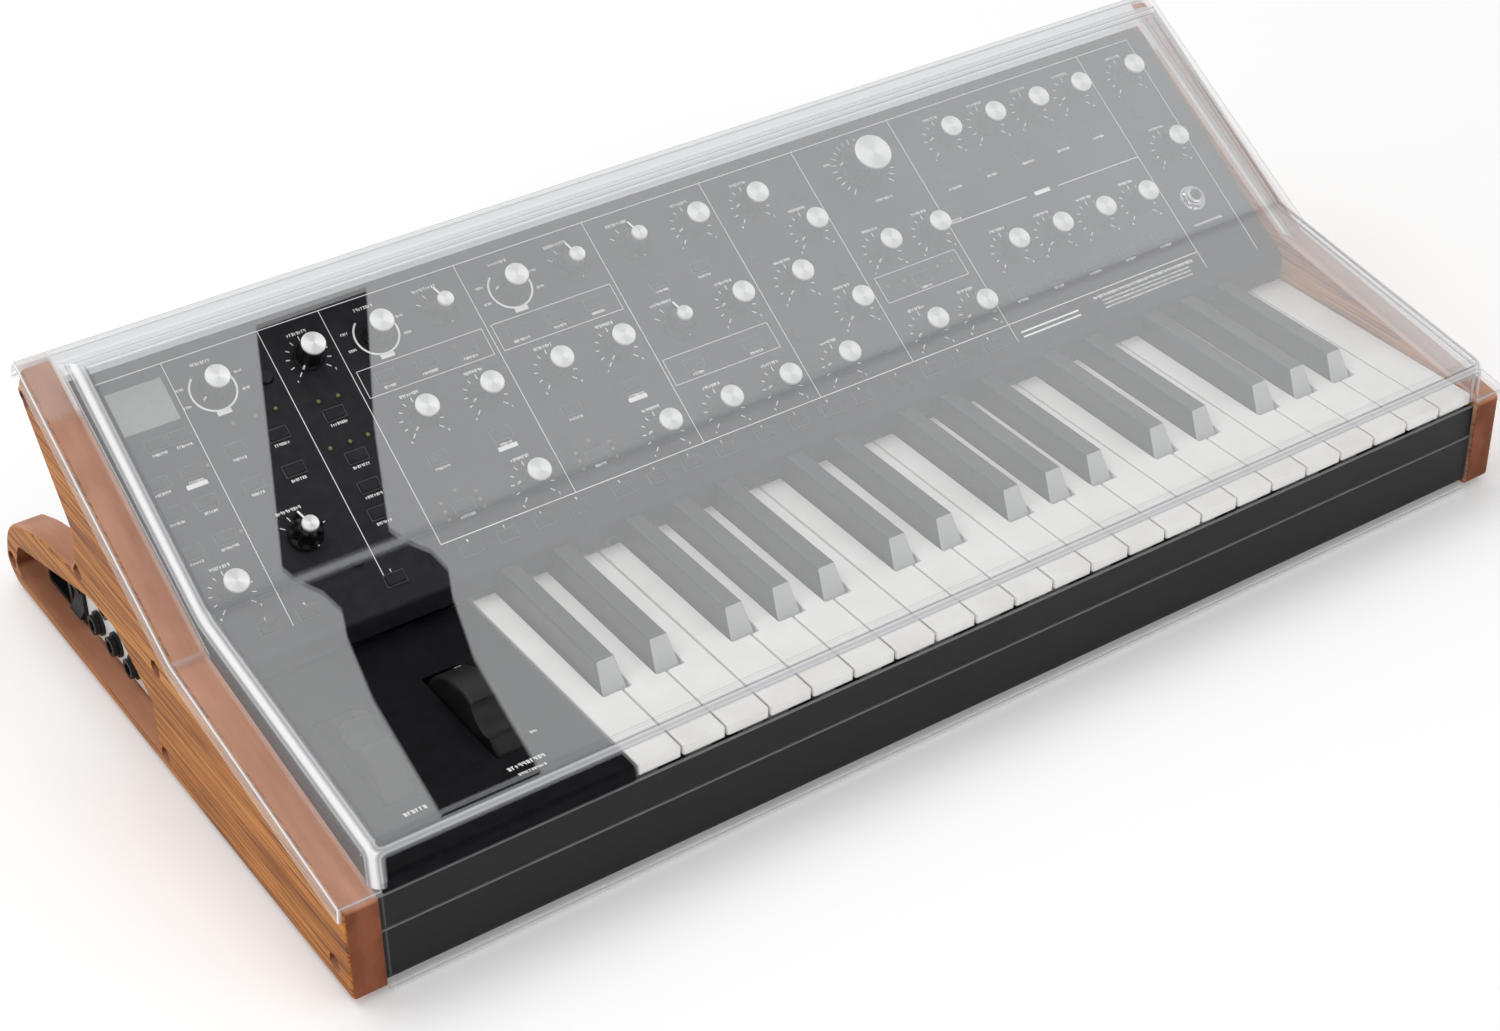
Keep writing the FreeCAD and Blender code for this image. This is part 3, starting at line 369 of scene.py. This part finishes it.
def lcd():
    """Unlit pale grey-green display with a fine cell grid."""
    made, shader, node = new_material("lcd", (0.27, 0.31, 0.28), 0.3)
    cells = noise(node, 300.0, 1.0)
    node.link(ramp(node, cells, [(0.3, (0.24, 0.285, 0.255)), (0.7, (0.29, 0.335, 0.300))]),
              shader.inputs["Base Color"])
    shader.inputs["Coat Weight"].default_value = 0.6
    return made


def ledged_steel():
    """Black powder coat with a painted highlight: paler, a little unevenly, on its upward-facing
    rounded edges, as if lit from above.
    """
    made, shader, node = new_material("ledged_steel", (0.008, 0.008, 0.009), 0.45)
    shader.inputs["Specular IOR Level"].default_value = 0.25
    facing = node("SeparateXYZ", {"Vector": node("NewGeometry").outputs["Normal"]})
    # Painted highlight: upward-facing faces paler, broken up by noise.
    painted_ledge_highlight = product(node, fade(node, facing.outputs["Z"], 0.15, 0.6),
                     fade(node, noise(node, 60.0, 2.0), 0.1, 0.5, 0.7, 1.0))
    node.link(ramp(node, painted_ledge_highlight, [(0.0, (0.008, 0.008, 0.009)), (1.0, (0.20, 0.20, 0.205))]),
              shader.inputs["Base Color"])
    bump(node, shader, noise(node, 3500.0, 2.0), 0.000004)
    return made


def black_key_plastic():
    """Satin black with painted reflection: a little paler on top and much paler on the sloping
    fronts, which stand for the bright surroundings reflected in them.
    """
    made, shader, node = new_material("black_key", (0.006, 0.006, 0.007), 0.32)
    shader.inputs["Specular IOR Level"].default_value = 0.4
    facing = node("SeparateXYZ", {"Vector": node("NewGeometry").outputs["Normal"]})
    mottle = noise(node, 90.0, 2.0)
    # Painted reflection: paler tops and much paler sloping fronts, chosen by facing.
    top = ramp(node, mottle, [(0.3, (0.022, 0.022, 0.023)), (0.7, (0.032, 0.032, 0.034))])
    front = ramp(node, mottle, [(0.3, (0.43, 0.43, 0.435)), (0.7, (0.45, 0.45, 0.455))])
    upward = fade(node, facing.outputs["Z"], 0.6, 0.9)
    forward = fade(node, facing.outputs["Y"], -0.35, -0.6)
    sides = node("Mix", {"Factor": upward, "A": (0.006, 0.006, 0.007, 1.0), "B": top},
                 data_type="RGBA")
    skin = node("Mix", {"Factor": forward, "A": sides.outputs["Result"], "B": front},
                data_type="RGBA")
    node.link(skin.outputs["Result"], shader.inputs["Base Color"])
    return made


LOOKS = {}


def make_looks():
    looks = LOOKS
    looks["oak"] = oak()
    looks["screw"] = speckled("screw_steel", (0.30, 0.26, 0.20), (0.42, 0.37, 0.28), 0.35, 0.08,
                              900.0, 0.00004, 1.0)
    looks["steel"] = speckled("black_steel", (0.007, 0.007, 0.008), (0.012, 0.012, 0.014), 0.45,
                              0.06, 3500.0, 0.000004, shine=0.25)
    looks["ledge"] = ledged_steel()
    looks["panel"] = speckled("panel_paint", (0.010, 0.010, 0.013), (0.016, 0.016, 0.020),
                              0.50, 0.05, 3500.0, 0.0000015, shine=0.25)
    looks["deck"] = speckled("deck_plastic", (0.004, 0.004, 0.005), (0.007, 0.007, 0.009),
                             0.42, 0.05, 3500.0, 0.0000015, shine=0.05)
    looks["knob"] = speckled("knob_plastic", (0.003, 0.003, 0.0035), (0.006, 0.006, 0.007), 0.38,
                             0.05, 1800.0, 0.00001, shine=0.3)
    looks["button"] = speckled("button_plastic", (0.010, 0.010, 0.012), (0.018, 0.018, 0.021),
                               0.50, 0.05, 2600.0, 0.0000015, shine=0.25)
    # Painted highlight: the button rims are a paler grey than the panel for the light their edges
    # catch.
    looks["bezel"] = speckled("button_bezel", (0.085, 0.085, 0.089), (0.110, 0.110, 0.114),
                              0.45, 0.05, 2600.0, 0.0000015, shine=0.25)
    looks["wheel"] = speckled("wheel_rubber", (0.006, 0.006, 0.007), (0.012, 0.012, 0.013), 0.50,
                              0.08, 2200.0, 0.00002, shine=0.3)
    looks["rubber"] = speckled("foot_rubber", (0.012, 0.012, 0.012), (0.022, 0.022, 0.022), 0.8,
                               0.08, 1600.0, 0.0001)
    looks["socket"] = speckled("socket_plastic", (0.008, 0.008, 0.009), (0.014, 0.014, 0.015),
                               0.42, 0.06, 1500.0, 0.00002, shine=0.3)
    looks["plate"] = speckled("plate_paint", (0.66, 0.66, 0.65), (0.76, 0.76, 0.75), 0.5, 0.05,
                              1400.0, 0.00004)
    looks["board"] = speckled("board_green", (0.01, 0.07, 0.03), (0.02, 0.12, 0.05), 0.4, 0.06,
                              500.0, 0.0001)
    looks["bare"] = speckled("bare_sheet", (0.42, 0.42, 0.43), (0.52, 0.52, 0.53), 0.4, 0.08,
                             300.0, 0.00008, 1.0)
    looks["white_key"] = speckled("white_key", (0.80, 0.79, 0.77), (0.86, 0.855, 0.84), 0.22,
                                  0.04, 900.0, 0.00003)
    looks["black_key"] = black_key_plastic()
    looks["print"] = speckled("white_print", (0.88, 0.88, 0.88), (0.97, 0.97, 0.97), 0.6, 0.05,
                              1800.0, 0.00001)
    looks["cap"] = spun_aluminium()
    looks["chrome"] = speckled("bright_nut", (0.62, 0.62, 0.63), (0.78, 0.78, 0.79), 0.2, 0.06,
                               700.0, 0.00003, 1.0)
    looks["olive"] = lens("led_olive", (0.16, 0.17, 0.05))
    looks["lcd"] = lcd()
    looks["cover"] = clear_cover()


def dress(names, look):
    """Gives CAD nodes their finished material."""
    for name in names:
        for held in NODES[name].material_slots:
            held.link = "OBJECT"
            held.material = LOOKS[look]


def dress_all():
    """A look for every CAD node but the knobs, which the detailed pieces replace."""
    dress(("left_cheek", "right_cheek"), "oak")
    dress(("cheek_screws",), "screw")
    dress(("chassis_pan", "front_rail"), "ledge")
    dress(("rear_panel",), "steel")
    dress(("control_panel",), "panel")
    dress(("wheel_deck",), "deck")
    dress(("pitch_wheel", "mod_wheel"), "wheel")
    dress(("panel_buttons", "tap_button"), "button")
    dress(("rubber_feet",), "rubber")
    dress(("connector_plate",), "plate")
    dress(("io_sockets", "power_switch"), "socket")
    dress(("circuit_boards",), "board")
    dress(("power_supply", "keybed_frame"), "bare")
    dress(("display",), "lcd")
    dress(("dust_cover",), "cover")
    dress([name for name in NODES if name.startswith("white_key")], "white_key")
    dress([name for name in NODES if name.startswith("black_key")], "black_key")


# ------------------------------------------------------------------ mesh building
class Draft:
    """Mesh in the making, in one local frame: points, faces and each face's look."""

    def __init__(self, name, looks):
        self.name = name
        self.looks = list(looks)
        self.points = []
        self.faces = []
        self.face_looks = []
        self.turned = {}

    def add(self, points, faces, look):
        """Adds faces over their own points and returns where those points start."""
        start = len(self.points)
        self.points += [Vector(point) for point in points]
        for face in faces:
            self.faces.append([start + index for index in face])
            self.face_looks.append(self.looks.index(look))
        return start

    def block(self, centre, size, look, taper=0.0, turn=0.0):
        """Upright block on its base centre, its top drawn in by taper."""
        half_x, half_y = size[0] / 2, size[1] / 2
        points = []
        for height, inset in ((0.0, 0.0), (size[2], taper)):
            for side_x, side_y in ((-1, -1), (1, -1), (1, 1), (-1, 1)):
                corner = Vector((side_x * (half_x - inset), side_y * (half_y - inset), height))
                points.append(Vector(centre) + Matrix.Rotation(turn, 3, "Z") @ corner)
        faces = [(3, 2, 1, 0), (4, 5, 6, 7), (0, 1, 5, 4), (1, 2, 6, 5), (2, 3, 7, 6), (3, 0, 4, 7)]
        self.add(points, faces, look)

    def lathe(self, centre, profile, look, segments=32, radius_at=None, cap_turned=False):
        """Turned shape; profile is (radius, height) from the inside out and round to the top."""
        points, faces = [], []
        for ring, (radius, height) in enumerate(profile):
            for step in range(segments):
                angle = math.tau * step / segments
                reach = radius_at(radius, height, angle) if radius_at else radius
                points.append((centre[0] + reach * math.cos(angle),
                               centre[1] + reach * math.sin(angle), centre[2] + height))
        for ring in range(len(profile) - 1):
            for step in range(segments):
                one = ring * segments + step
                two = ring * segments + (step + 1) % segments
                faces.append((one, two, two + segments, one + segments))
        start = self.add(points, faces, look)
        if cap_turned:
            for ring, (radius, _) in enumerate(profile):
                for step in range(segments):
                    self.turned[start + ring * segments + step] = (step / segments, radius / MM)

    def finish(self, body, place=None, smooth=True, replaces=()):
        """Makes the object, rides it on its body and says what it replaces."""
        place = place or Matrix.Identity(4)
        mesh = bpy.data.meshes.new(self.name)
        mesh.from_pydata([place @ point for point in self.points], [], self.faces)
        for look in self.looks:
            mesh.materials.append(LOOKS[look])
        for polygon, look in zip(mesh.polygons, self.face_looks):
            polygon.material_index = look
            polygon.use_smooth = smooth
        if self.turned:
            layer = mesh.uv_layers.new(name="turned")
            for polygon in mesh.polygons:
                spots = [self.turned.get(index, (0.0, 0.0)) for index in polygon.vertices]
                wraps = max(spot[0] for spot in spots) - min(spot[0] for spot in spots) > 0.5
                for loop, spot in zip(polygon.loop_indices, spots):
                    turn = spot[0] + (1.0 if wraps and spot[0] < 0.5 else 0.0)
                    layer.data[loop].uv = (turn, spot[1])
        if smooth:
            mesh.set_sharp_from_angle(angle=math.radians(38.0))
        made = bpy.data.objects.new(self.name, mesh)
        bpy.context.scene.collection.objects.link(made)
        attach(made, body)
        if replaces:
            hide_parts(*replaces)
        return made


# ------------------------------------------------------------------ panel layout
ROWS = {"top": 0.124, "upper": 0.0998, "middle": 0.0753, "lower": 0.051, "bottom": 0.0255}
RINGED = [(-0.263, ROWS["top"]), (-0.177, ROWS["top"]), (-0.1024, ROWS["top"])]
SELECTORS = [(-0.2555, 0.0405), (-0.1422, ROWS["top"]), (-0.0676, ROWS["top"]),
             (-0.031, ROWS["top"]), (-0.031, ROWS["middle"])]
PLAIN = [(-0.299, 0.027), (-0.2135, ROWS["top"]), (0.2955, ROWS["top"]), (0.2955, ROWS["middle"])]
for column in (-0.177, -0.1024):
    PLAIN += [(column, ROWS["middle"]), (column + 0.0354, ROWS["middle"]),
              (column + 0.0354, ROWS["bottom"])]
PLAIN += [(-0.031, ROWS["bottom"])]
PLAIN += [(0.0044, ROWS[row]) for row in ("top", "middle", "bottom")]
PLAIN += [(0.041, ROWS["top"]), (0.0645, ROWS["upper"]), (0.041, ROWS["middle"]),
          (0.0645, ROWS["lower"]), (0.041, ROWS["bottom"])]
PLAIN += [(0.0972, ROWS["middle"]), (0.1294, ROWS["middle"]), (0.0972, ROWS["bottom"]),
          (0.1294, ROWS["bottom"])]
for row in ("top", "lower"):
    PLAIN += [(0.167 + 0.03 * step, ROWS[row]) for step in range(4)]
CUTOFF = (0.1135, 0.1235)
JACK = (0.291, 0.0425)
STEP_ROW = 0.0052
SWEEP = math.radians(135.0)         # a knob's travel each side of straight up
SHAFT_BORE = 0.00305
SELECTOR_TURN = -0.35
SELECTOR_STOPS = (-0.9, -0.35, 0.2, 0.75, 1.3)


def knob(draft, spot, radius, high, cap_radius, ribs, pointing):
    """Skirted control knob with a ribbed body, a turned cap and a white index."""
    base = (spot[0], spot[1], 0.0)
    rib_depth = radius * 0.05

    def ribbed(reach, height, angle):
        if height < 0.0024 or height > high - 0.0019 or reach < cap_radius:
            return reach
        return reach - rib_depth * (0.5 - 0.5 * math.cos(angle * ribs))

    body = [(0.0001, high - 0.0040), (SHAFT_BORE, high - 0.0040), (SHAFT_BORE, 0.0005),
            (radius, 0.0005), (radius, 0.0016), (radius - 0.0004, 0.0021),
            (radius - 0.0006, 0.0026), (radius - 0.0010, 0.0070), (radius - 0.0013, high - 0.0028),
            (cap_radius + 0.0001, high - 0.0016), (cap_radius - 0.0002, high - 0.0015)]
    draft.lathe(base, body, "knob", ribs * 4, ribbed)
    cap = [(cap_radius - 0.0003, high - 0.0016), (cap_radius - 0.0002, high - 0.0004),
           (cap_radius - 0.0006, high), (cap_radius * 0.5, high - 0.0001), (0.0001, high - 0.0002)]
    draft.lathe(base, cap, "cap", 48, cap_turned=True)
    direction = Vector((math.sin(pointing), math.cos(pointing), 0.0))
    middle = Vector(base) + direction * (radius - 0.0003)
    draft.block(middle + Vector((0, 0, 0.0010)), (0.0012, 0.0012, 0.0026), "print",
                turn=-pointing, taper=0.0002)


def selector(draft, spot, pointing):
    """Stepped selector: round skirt, scalloped grip with a raised pointer, small cap."""
    base = (spot[0], spot[1], 0.0)

    def scalloped(reach, height, angle):
        if height < 0.0032 or reach < 0.0045:
            return reach
        return reach - 0.0011 * (0.5 + 0.5 * math.cos((angle + pointing) * 8.0)) ** 2

    body = [(0.0001, 0.0110), (SHAFT_BORE, 0.0110), (SHAFT_BORE, 0.0005), (0.0086, 0.0005),
            (0.0086, 0.0018), (0.0082, 0.0024), (0.0074, 0.0036), (0.0069, 0.0100),
            (0.0062, 0.0122), (0.0045, 0.0132), (0.0040, 0.0132)]
    draft.lathe(base, body, "knob", 64, scalloped)
    cap = [(0.0041, 0.0131), (0.0041, 0.0143), (0.0038, 0.0148), (0.0020, 0.0147), (0.0001, 0.0147)]
    draft.lathe(base, cap, "cap", 40, cap_turned=True)
    direction = Vector((math.sin(pointing), math.cos(pointing), 0.0))
    draft.block(Vector(base) + direction * 0.0062 + Vector((0, 0, 0.0060)),
                (0.0024, 0.0050, 0.0072), "knob", taper=0.0004, turn=-pointing)
    draft.block(Vector(base) + direction * 0.0062 + Vector((0, 0, 0.0132)),
                (0.0009, 0.0042, 0.0003), "print", turn=-pointing)
    draft.block(Vector(base) - direction * 0.0078 + Vector((0, 0, 0.0022)),
                (0.0011, 0.0011, 0.0003), "print", turn=-pointing)


def make_knobs():
    fixed = Draft("panel_knob_set", ("knob", "cap", "print"))
    turns = random.Random(37)
    for spot in PLAIN + RINGED:
        knob(fixed, spot, 7.6 * MM, 15.0 * MM, 6.2 * MM, 20,
             turns.choice((-1.0, -0.9, -0.75, -0.6, 0.3)) * SWEEP)
    for spot in SELECTORS:
        selector(fixed, spot, SELECTOR_TURN)
    fixed.finish("chassis", PANEL, replaces=("panel_knobs",))
    large = Draft("cutoff_knob_turned", ("knob", "cap", "print"))
    knob(large, CUTOFF, 13.0 * MM, 17.0 * MM, 10.4 * MM, 32, -0.5 * SWEEP)
    large.finish("cutoff_knob", PANEL, replaces=("cutoff_knob",))


# ------------------------------------------------------------------ printing on the panel
PRINT_LIFT = 0.00005
PRINT_HIGH = 0.00004
marks = random.Random(5)


def stroke(draft, start, end, width=0.00045, look="print"):
    """Straight printed line between two panel spots."""
    run = Vector((end[0] - start[0], end[1] - start[1]))
    centre = ((start[0] + end[0]) / 2, (start[1] + end[1]) / 2, PRINT_LIFT)
    turn = math.atan2(run.y, run.x)
    draft.block(centre, (run.length + width, width, PRINT_HIGH), look, turn=turn)


def arc(draft, spot, radius, first, last, width, look="print"):
    """Printed arc; angles run clockwise from straight up."""
    steps = max(3, int(abs(last - first) * radius / 0.0012))
    points, faces = [], []
    for step in range(steps + 1):
        angle = first + (last - first) * step / steps
        for reach in (radius - width / 2, radius + width / 2):
            points.append((spot[0] + reach * math.sin(angle), spot[1] + reach * math.cos(angle),
                           PRINT_LIFT + PRINT_HIGH))
        if step:
            near = 2 * step
            faces.append((near - 2, near - 1, near + 1, near))
    draft.add(points, faces, look)


def label(draft, centre, length, height=0.0015, look="print"):
    """Stand-in for a word: a row of plain marks that spell nothing."""
    pitch = height * 0.86
    count = max(1, round(length / pitch))
    left = centre[0] - (count - 1) * pitch / 2
    wide = height * 0.58
    thin = height * 0.25
    for index in range(count):
        x, v = left + index * pitch, centre[1]
        shape = marks.randrange(4)
        if shape in (0, 1, 3):
            stroke(draft, (x - wide / 2 + thin / 2, v - height / 2),
                   (x - wide / 2 + thin / 2, v + height / 2 - thin), thin, look)
        if shape in (0, 2, 3):
            stroke(draft, (x - wide / 2, v + height / 2 - thin / 2),
                   (x + wide / 2 - thin, v + height / 2 - thin / 2), thin, look)
        if shape in (1, 2):
            stroke(draft, (x - wide / 2, v), (x + wide / 2 - thin, v), thin, look)
        if shape in (0, 2):
            stroke(draft, (x + wide / 2 - thin / 2, v - height / 2),
                   (x + wide / 2 - thin / 2, v + height / 2 - thin), thin, look)


def ticks(draft, spot, inner, outer, count=11, width=0.0005):
    """Scale round a knob: count strokes over its travel, every fifth one longer."""
    for step in range(count):
        angle = -SWEEP + 2 * SWEEP * step / (count - 1)
        far = outer if step % 5 else outer + 0.0006
        stroke(draft, (spot[0] + inner * math.sin(angle), spot[1] + inner * math.cos(angle)),
               (spot[0] + far * math.sin(angle), spot[1] + far * math.cos(angle)), width)


def frame_line(draft, low_x, low_v, high_x, high_v, width=0.0004, look="print"):
    """Printed outline of a box."""
    corners = [(low_x, low_v), (high_x, low_v), (high_x, high_v), (low_x, high_v)]
    for index, corner in enumerate(corners):
        stroke(draft, corner, corners[(index + 1) % 4], width, look)


# Printed boxes as (left, low, right, high), and the upright lines between the panel's fields.
FRAMES = [(-0.1955, 0.0935, -0.1270, 0.1085), (-0.1215, 0.0935, -0.0530, 0.1085),
          (-0.0480, 0.0455, 0.0150, 0.0605), (0.0845, 0.0470, 0.1370, 0.0625)]
DIVIDERS = [-0.2802, -0.2306, -0.1983, -0.1242, -0.0501, 0.0209, 0.0793, 0.142, 0.2742, 0.311]


def make_print():
    """Everything printed on the panel: lines, scales and rows of marks."""
    sheet = Draft("panel_print", ("print",))
    for x in DIVIDERS:
        stroke(sheet, (x, 0.0125 if -0.2 < x < 0.142 else 0.002), (x, 0.1450), 0.00036)
    stroke(sheet, (-0.1983, 0.0125), (0.1420, 0.0125), 0.00045)
    stroke(sheet, (0.1420, 0.0125), (0.2742, 0.0125), 0.00045)
    stroke(sheet, (0.1420, 0.0765), (0.1950, 0.0765), 0.00045)
    stroke(sheet, (0.2170, 0.0765), (0.2742, 0.0765), 0.00045)
    stroke(sheet, (-0.318, 0.1450), (0.311, 0.1450), 0.00045)
    for spot in PLAIN:
        ticks(sheet, spot, 0.0094, 0.0109)
        label(sheet, (spot[0], spot[1] + 0.0136), 0.0105)
        for side in (-1, 1):
            label(sheet, (spot[0] + side * 0.0100, spot[1] - 0.0102), 0.0013, 0.0012)
    for spot in RINGED:
        arc(sheet, spot, 0.0112, 0.22 * math.pi, 1.78 * math.pi, 0.0010)
        label(sheet, (spot[0], spot[1] + 0.0150), 0.0105)
        sheet.block((spot[0], spot[1] - 0.0125, PRINT_LIFT), (0.0072, 0.0024, PRINT_HIGH), "print")
        for side in (-1, 1):
            label(sheet, (spot[0] + side * 0.0150, spot[1] - 0.0045), 0.0040, 0.0012)
            label(sheet, (spot[0] + side * 0.0150, spot[1] + 0.0050), 0.0040, 0.0012)
    for spot in SELECTORS:
        label(sheet, (spot[0] - 0.002, spot[1] + 0.0142), 0.0125)
        for turn in SELECTOR_STOPS:
            start, end = ((spot[0] + reach * math.sin(turn), spot[1] + reach * math.cos(turn))
                          for reach in (0.0096, 0.0118))
            stroke(sheet, start, end)
    ticks(sheet, CUTOFF, 0.0152, 0.0176, 21)
    label(sheet, (CUTOFF[0] + 0.002, CUTOFF[1] - 0.0205), 0.0120)
    for side in (-1, 1):
        label(sheet, (CUTOFF[0] + side * 0.0190, CUTOFF[1] + 0.0080), 0.0040, 0.0012)
    make_button_labels(sheet)
    for corners in FRAMES:
        frame_line(sheet, *corners, 0.0003)
    for x, v in ((-0.1442, 0.0464), (-0.0700, 0.0466), (0.206, 0.0765), (-0.2906, 0.0819)):
        sheet.block((x, v, PRINT_LIFT), (0.0105, 0.0023, PRINT_HIGH), "print")
    for v in (0.0032, 0.0060):
        stroke(sheet, (0.1470, v), (0.1850, v), 0.0010)
    label(sheet, (0.2330, 0.0090), 0.070, 0.0016)
    for line in range(3):
        label(sheet, (0.2330, 0.0062 - 0.0022 * line), 0.062, 0.0009)
    label(sheet, (0.2920, 0.0270), 0.020, 0.0012)
    sheet.finish("chassis", PANEL, smooth=False)


def button_spots():
    """Centres of the flat buttons, in panel coordinates, row by row."""
    spots = [(-0.2996, 0.1074), (-0.2876, 0.1074), (-0.290, 0.089), (-0.307, 0.0885),
             (-0.2905, 0.0724), (-0.307, 0.0726), (-0.290, 0.053), (-0.3072, 0.0516),
             (-0.2906, STEP_ROW), (-0.271, STEP_ROW), (-0.2665, 0.0922), (-0.2665, 0.073),
             (-0.2456, 0.0728), (-0.245, 0.092), (-0.215, 0.0923), (-0.215, 0.0684),
             (-0.2164, 0.0524), (-0.218, 0.0382), (-0.2263, STEP_ROW)]
    for column in (-0.183, -0.1102):
        spots += [(column, 0.1014), (column + 0.0218, 0.1014), (column + 0.0442, 0.1016)]
    for column in (-0.1791, -0.105):
        spots += [(column, 0.0533), (column + 0.0349, 0.0537), (column, 0.0265)]
    spots += [(-0.0284, 0.101), (-0.0027, 0.101), (-0.0332, 0.0532), (0.0016, 0.0528),
              (0.1102, 0.0539), (0.1475, 0.083)]
    spots += [(0.158 + 0.025 * step, 0.1004) for step in range(5)]
    spots += [(0.1584 + 0.0249 * step, 0.0276) for step in range(5)]
    for first in (-0.1856, -0.1013, -0.0173, 0.0662):
        spots += [(first + 0.02 * step, STEP_ROW) for step in range(4)]
    return spots


def make_button_labels(sheet):
    """A row of marks under each button, or one mark above it in the bottom row."""
    for x, v in button_spots():
        if v > STEP_ROW:
            label(sheet, (x, v - 0.0052), marks.choice((0.0065, 0.0080, 0.0095)), 0.0013)
        else:
            label(sheet, (x, v + 0.0046), 0.0016, 0.0013)


def make_button_bezels():
    """Low raised rim round each flat button, in a paler grey than the panel as a painted highlight
    on its edges.
    """
    draft = Draft("button_bezels", ("bezel",))
    for x, v in button_spots():
        for side in (-1, 1):
            draft.block((x, v + 0.0031 * side, 0.0), (0.0110, 0.0005, 0.0007), "bezel", 0.0001)
            draft.block((x + 0.0052 * side, v, 0.0), (0.0005, 0.0058, 0.0007), "bezel", 0.0001)
    draft.finish("chassis", PANEL, smooth=False)


LIGHTS = [(-0.2195, 0.1007), (-0.2094, 0.1003), (-0.2251, 0.0764), (-0.2146, 0.0763),
          (-0.2051, 0.0766), (0.0891, 0.0558), (0.0996, 0.0558), (0.1223, 0.0569), (0.1316, 0.0569)]
LIGHT_RING = [(-0.1793, 0.0267), (-0.1051, 0.0264)]


def make_lights():
    """Small domed status lights, unlit, each in a dark collar."""
    spots = list(LIGHTS)
    for x, v in LIGHT_RING:
        spots += [(x + 0.0095 * side, v + 0.0045 * level) for side in (-1, 1)
                  for level in (-1, 0, 1)]
        spots.append((x, v + 0.0085))
    spots += [(-0.262, 0.1045), (-0.2505, 0.1045), (-0.240, 0.1045)]
    spots += [(x + 0.0078, v) for x, v in ((-0.290, 0.053), (-0.290, 0.089))]
    draft = Draft("status_lights", ("olive", "knob"))
    for x, v in spots:
        draft.lathe((x, v, 0.0), [(0.0014, 0.0), (0.0014, 0.0003), (0.0011, 0.0004)], "knob", 16)
        draft.lathe((x, v, 0.0), [(0.0011, 0.0002), (0.00105, 0.0006), (0.0008, 0.0010),
                                  (0.0004, 0.0012), (0.00001, 0.00125)], "olive", 16)
    draft.finish("chassis", PANEL)


def hex_nut(draft, spot, across, low, high, bore, look):
    """Chamfered hexagon nut on a washer."""
    def flats(reach, height, angle):
        if reach < bore * 1.2:
            return reach
        turn = (angle + math.pi / 6) % (math.pi / 3) - math.pi / 6
        return min(reach, across / 2 / math.cos(turn))

    corner = across / math.sqrt(3)
    profile = [(bore, low), (corner, low), (corner, high - 0.0006), (across / 2, high),
               (bore, high), (bore, low)]
    draft.lathe((spot[0], spot[1], 0.0), profile, look, 48, flats)
    washer = [(bore, 0.0), (corner + 0.0006, 0.0), (corner + 0.0006, 0.0005), (bore, 0.0005)]
    draft.lathe((spot[0], spot[1], 0.0), washer, look, 48)


def make_headphone_nut():
    """Hexagon nut and rounded collar round the headphone socket."""
    draft = Draft("headphone_nut", ("chrome",))
    hex_nut(draft, JACK, 0.0122, 0.0005, 0.0030, 0.0046, "chrome")
    collar = [(0.0033, 0.0036), (0.0046, 0.0036), (0.0046, 0.0043), (0.0042, 0.0046),
              (0.0034, 0.0046), (0.0033, 0.0036)]
    draft.lathe((JACK[0], JACK[1], 0.0), collar, "chrome", 40)
    draft.finish("chassis", PANEL)


# ------------------------------------------------------------------ deck print and build
DECK_TOP = 0.060
# (x, depth, length, height) of each row of marks on the deck.
DECK_MARKS = [(-0.2238, 0.105, 0.0045, 0.0015), (-0.2190, 0.046, 0.0045, 0.0015),
              (-0.2325, 0.0295, 0.0185, 0.0022), (-0.2325, 0.0240, 0.0140, 0.0015),
              (-0.2875, 0.0295, 0.0110, 0.0022)]


def make_deck_print():
    """Plain marks beside the playing wheels."""
    draft = Draft("deck_print", ("print",))
    level = Matrix.Translation((0.0, FRONT, DECK_TOP))
    for x, depth, length, height in DECK_MARKS:
        label(draft, (x, depth), length, height)
    draft.finish("chassis", level, smooth=False)


make_camera()
make_studio()
make_looks()
dress_all()
make_knobs()
make_print()
make_button_bezels()
make_lights()
make_headphone_nut()
make_deck_print()
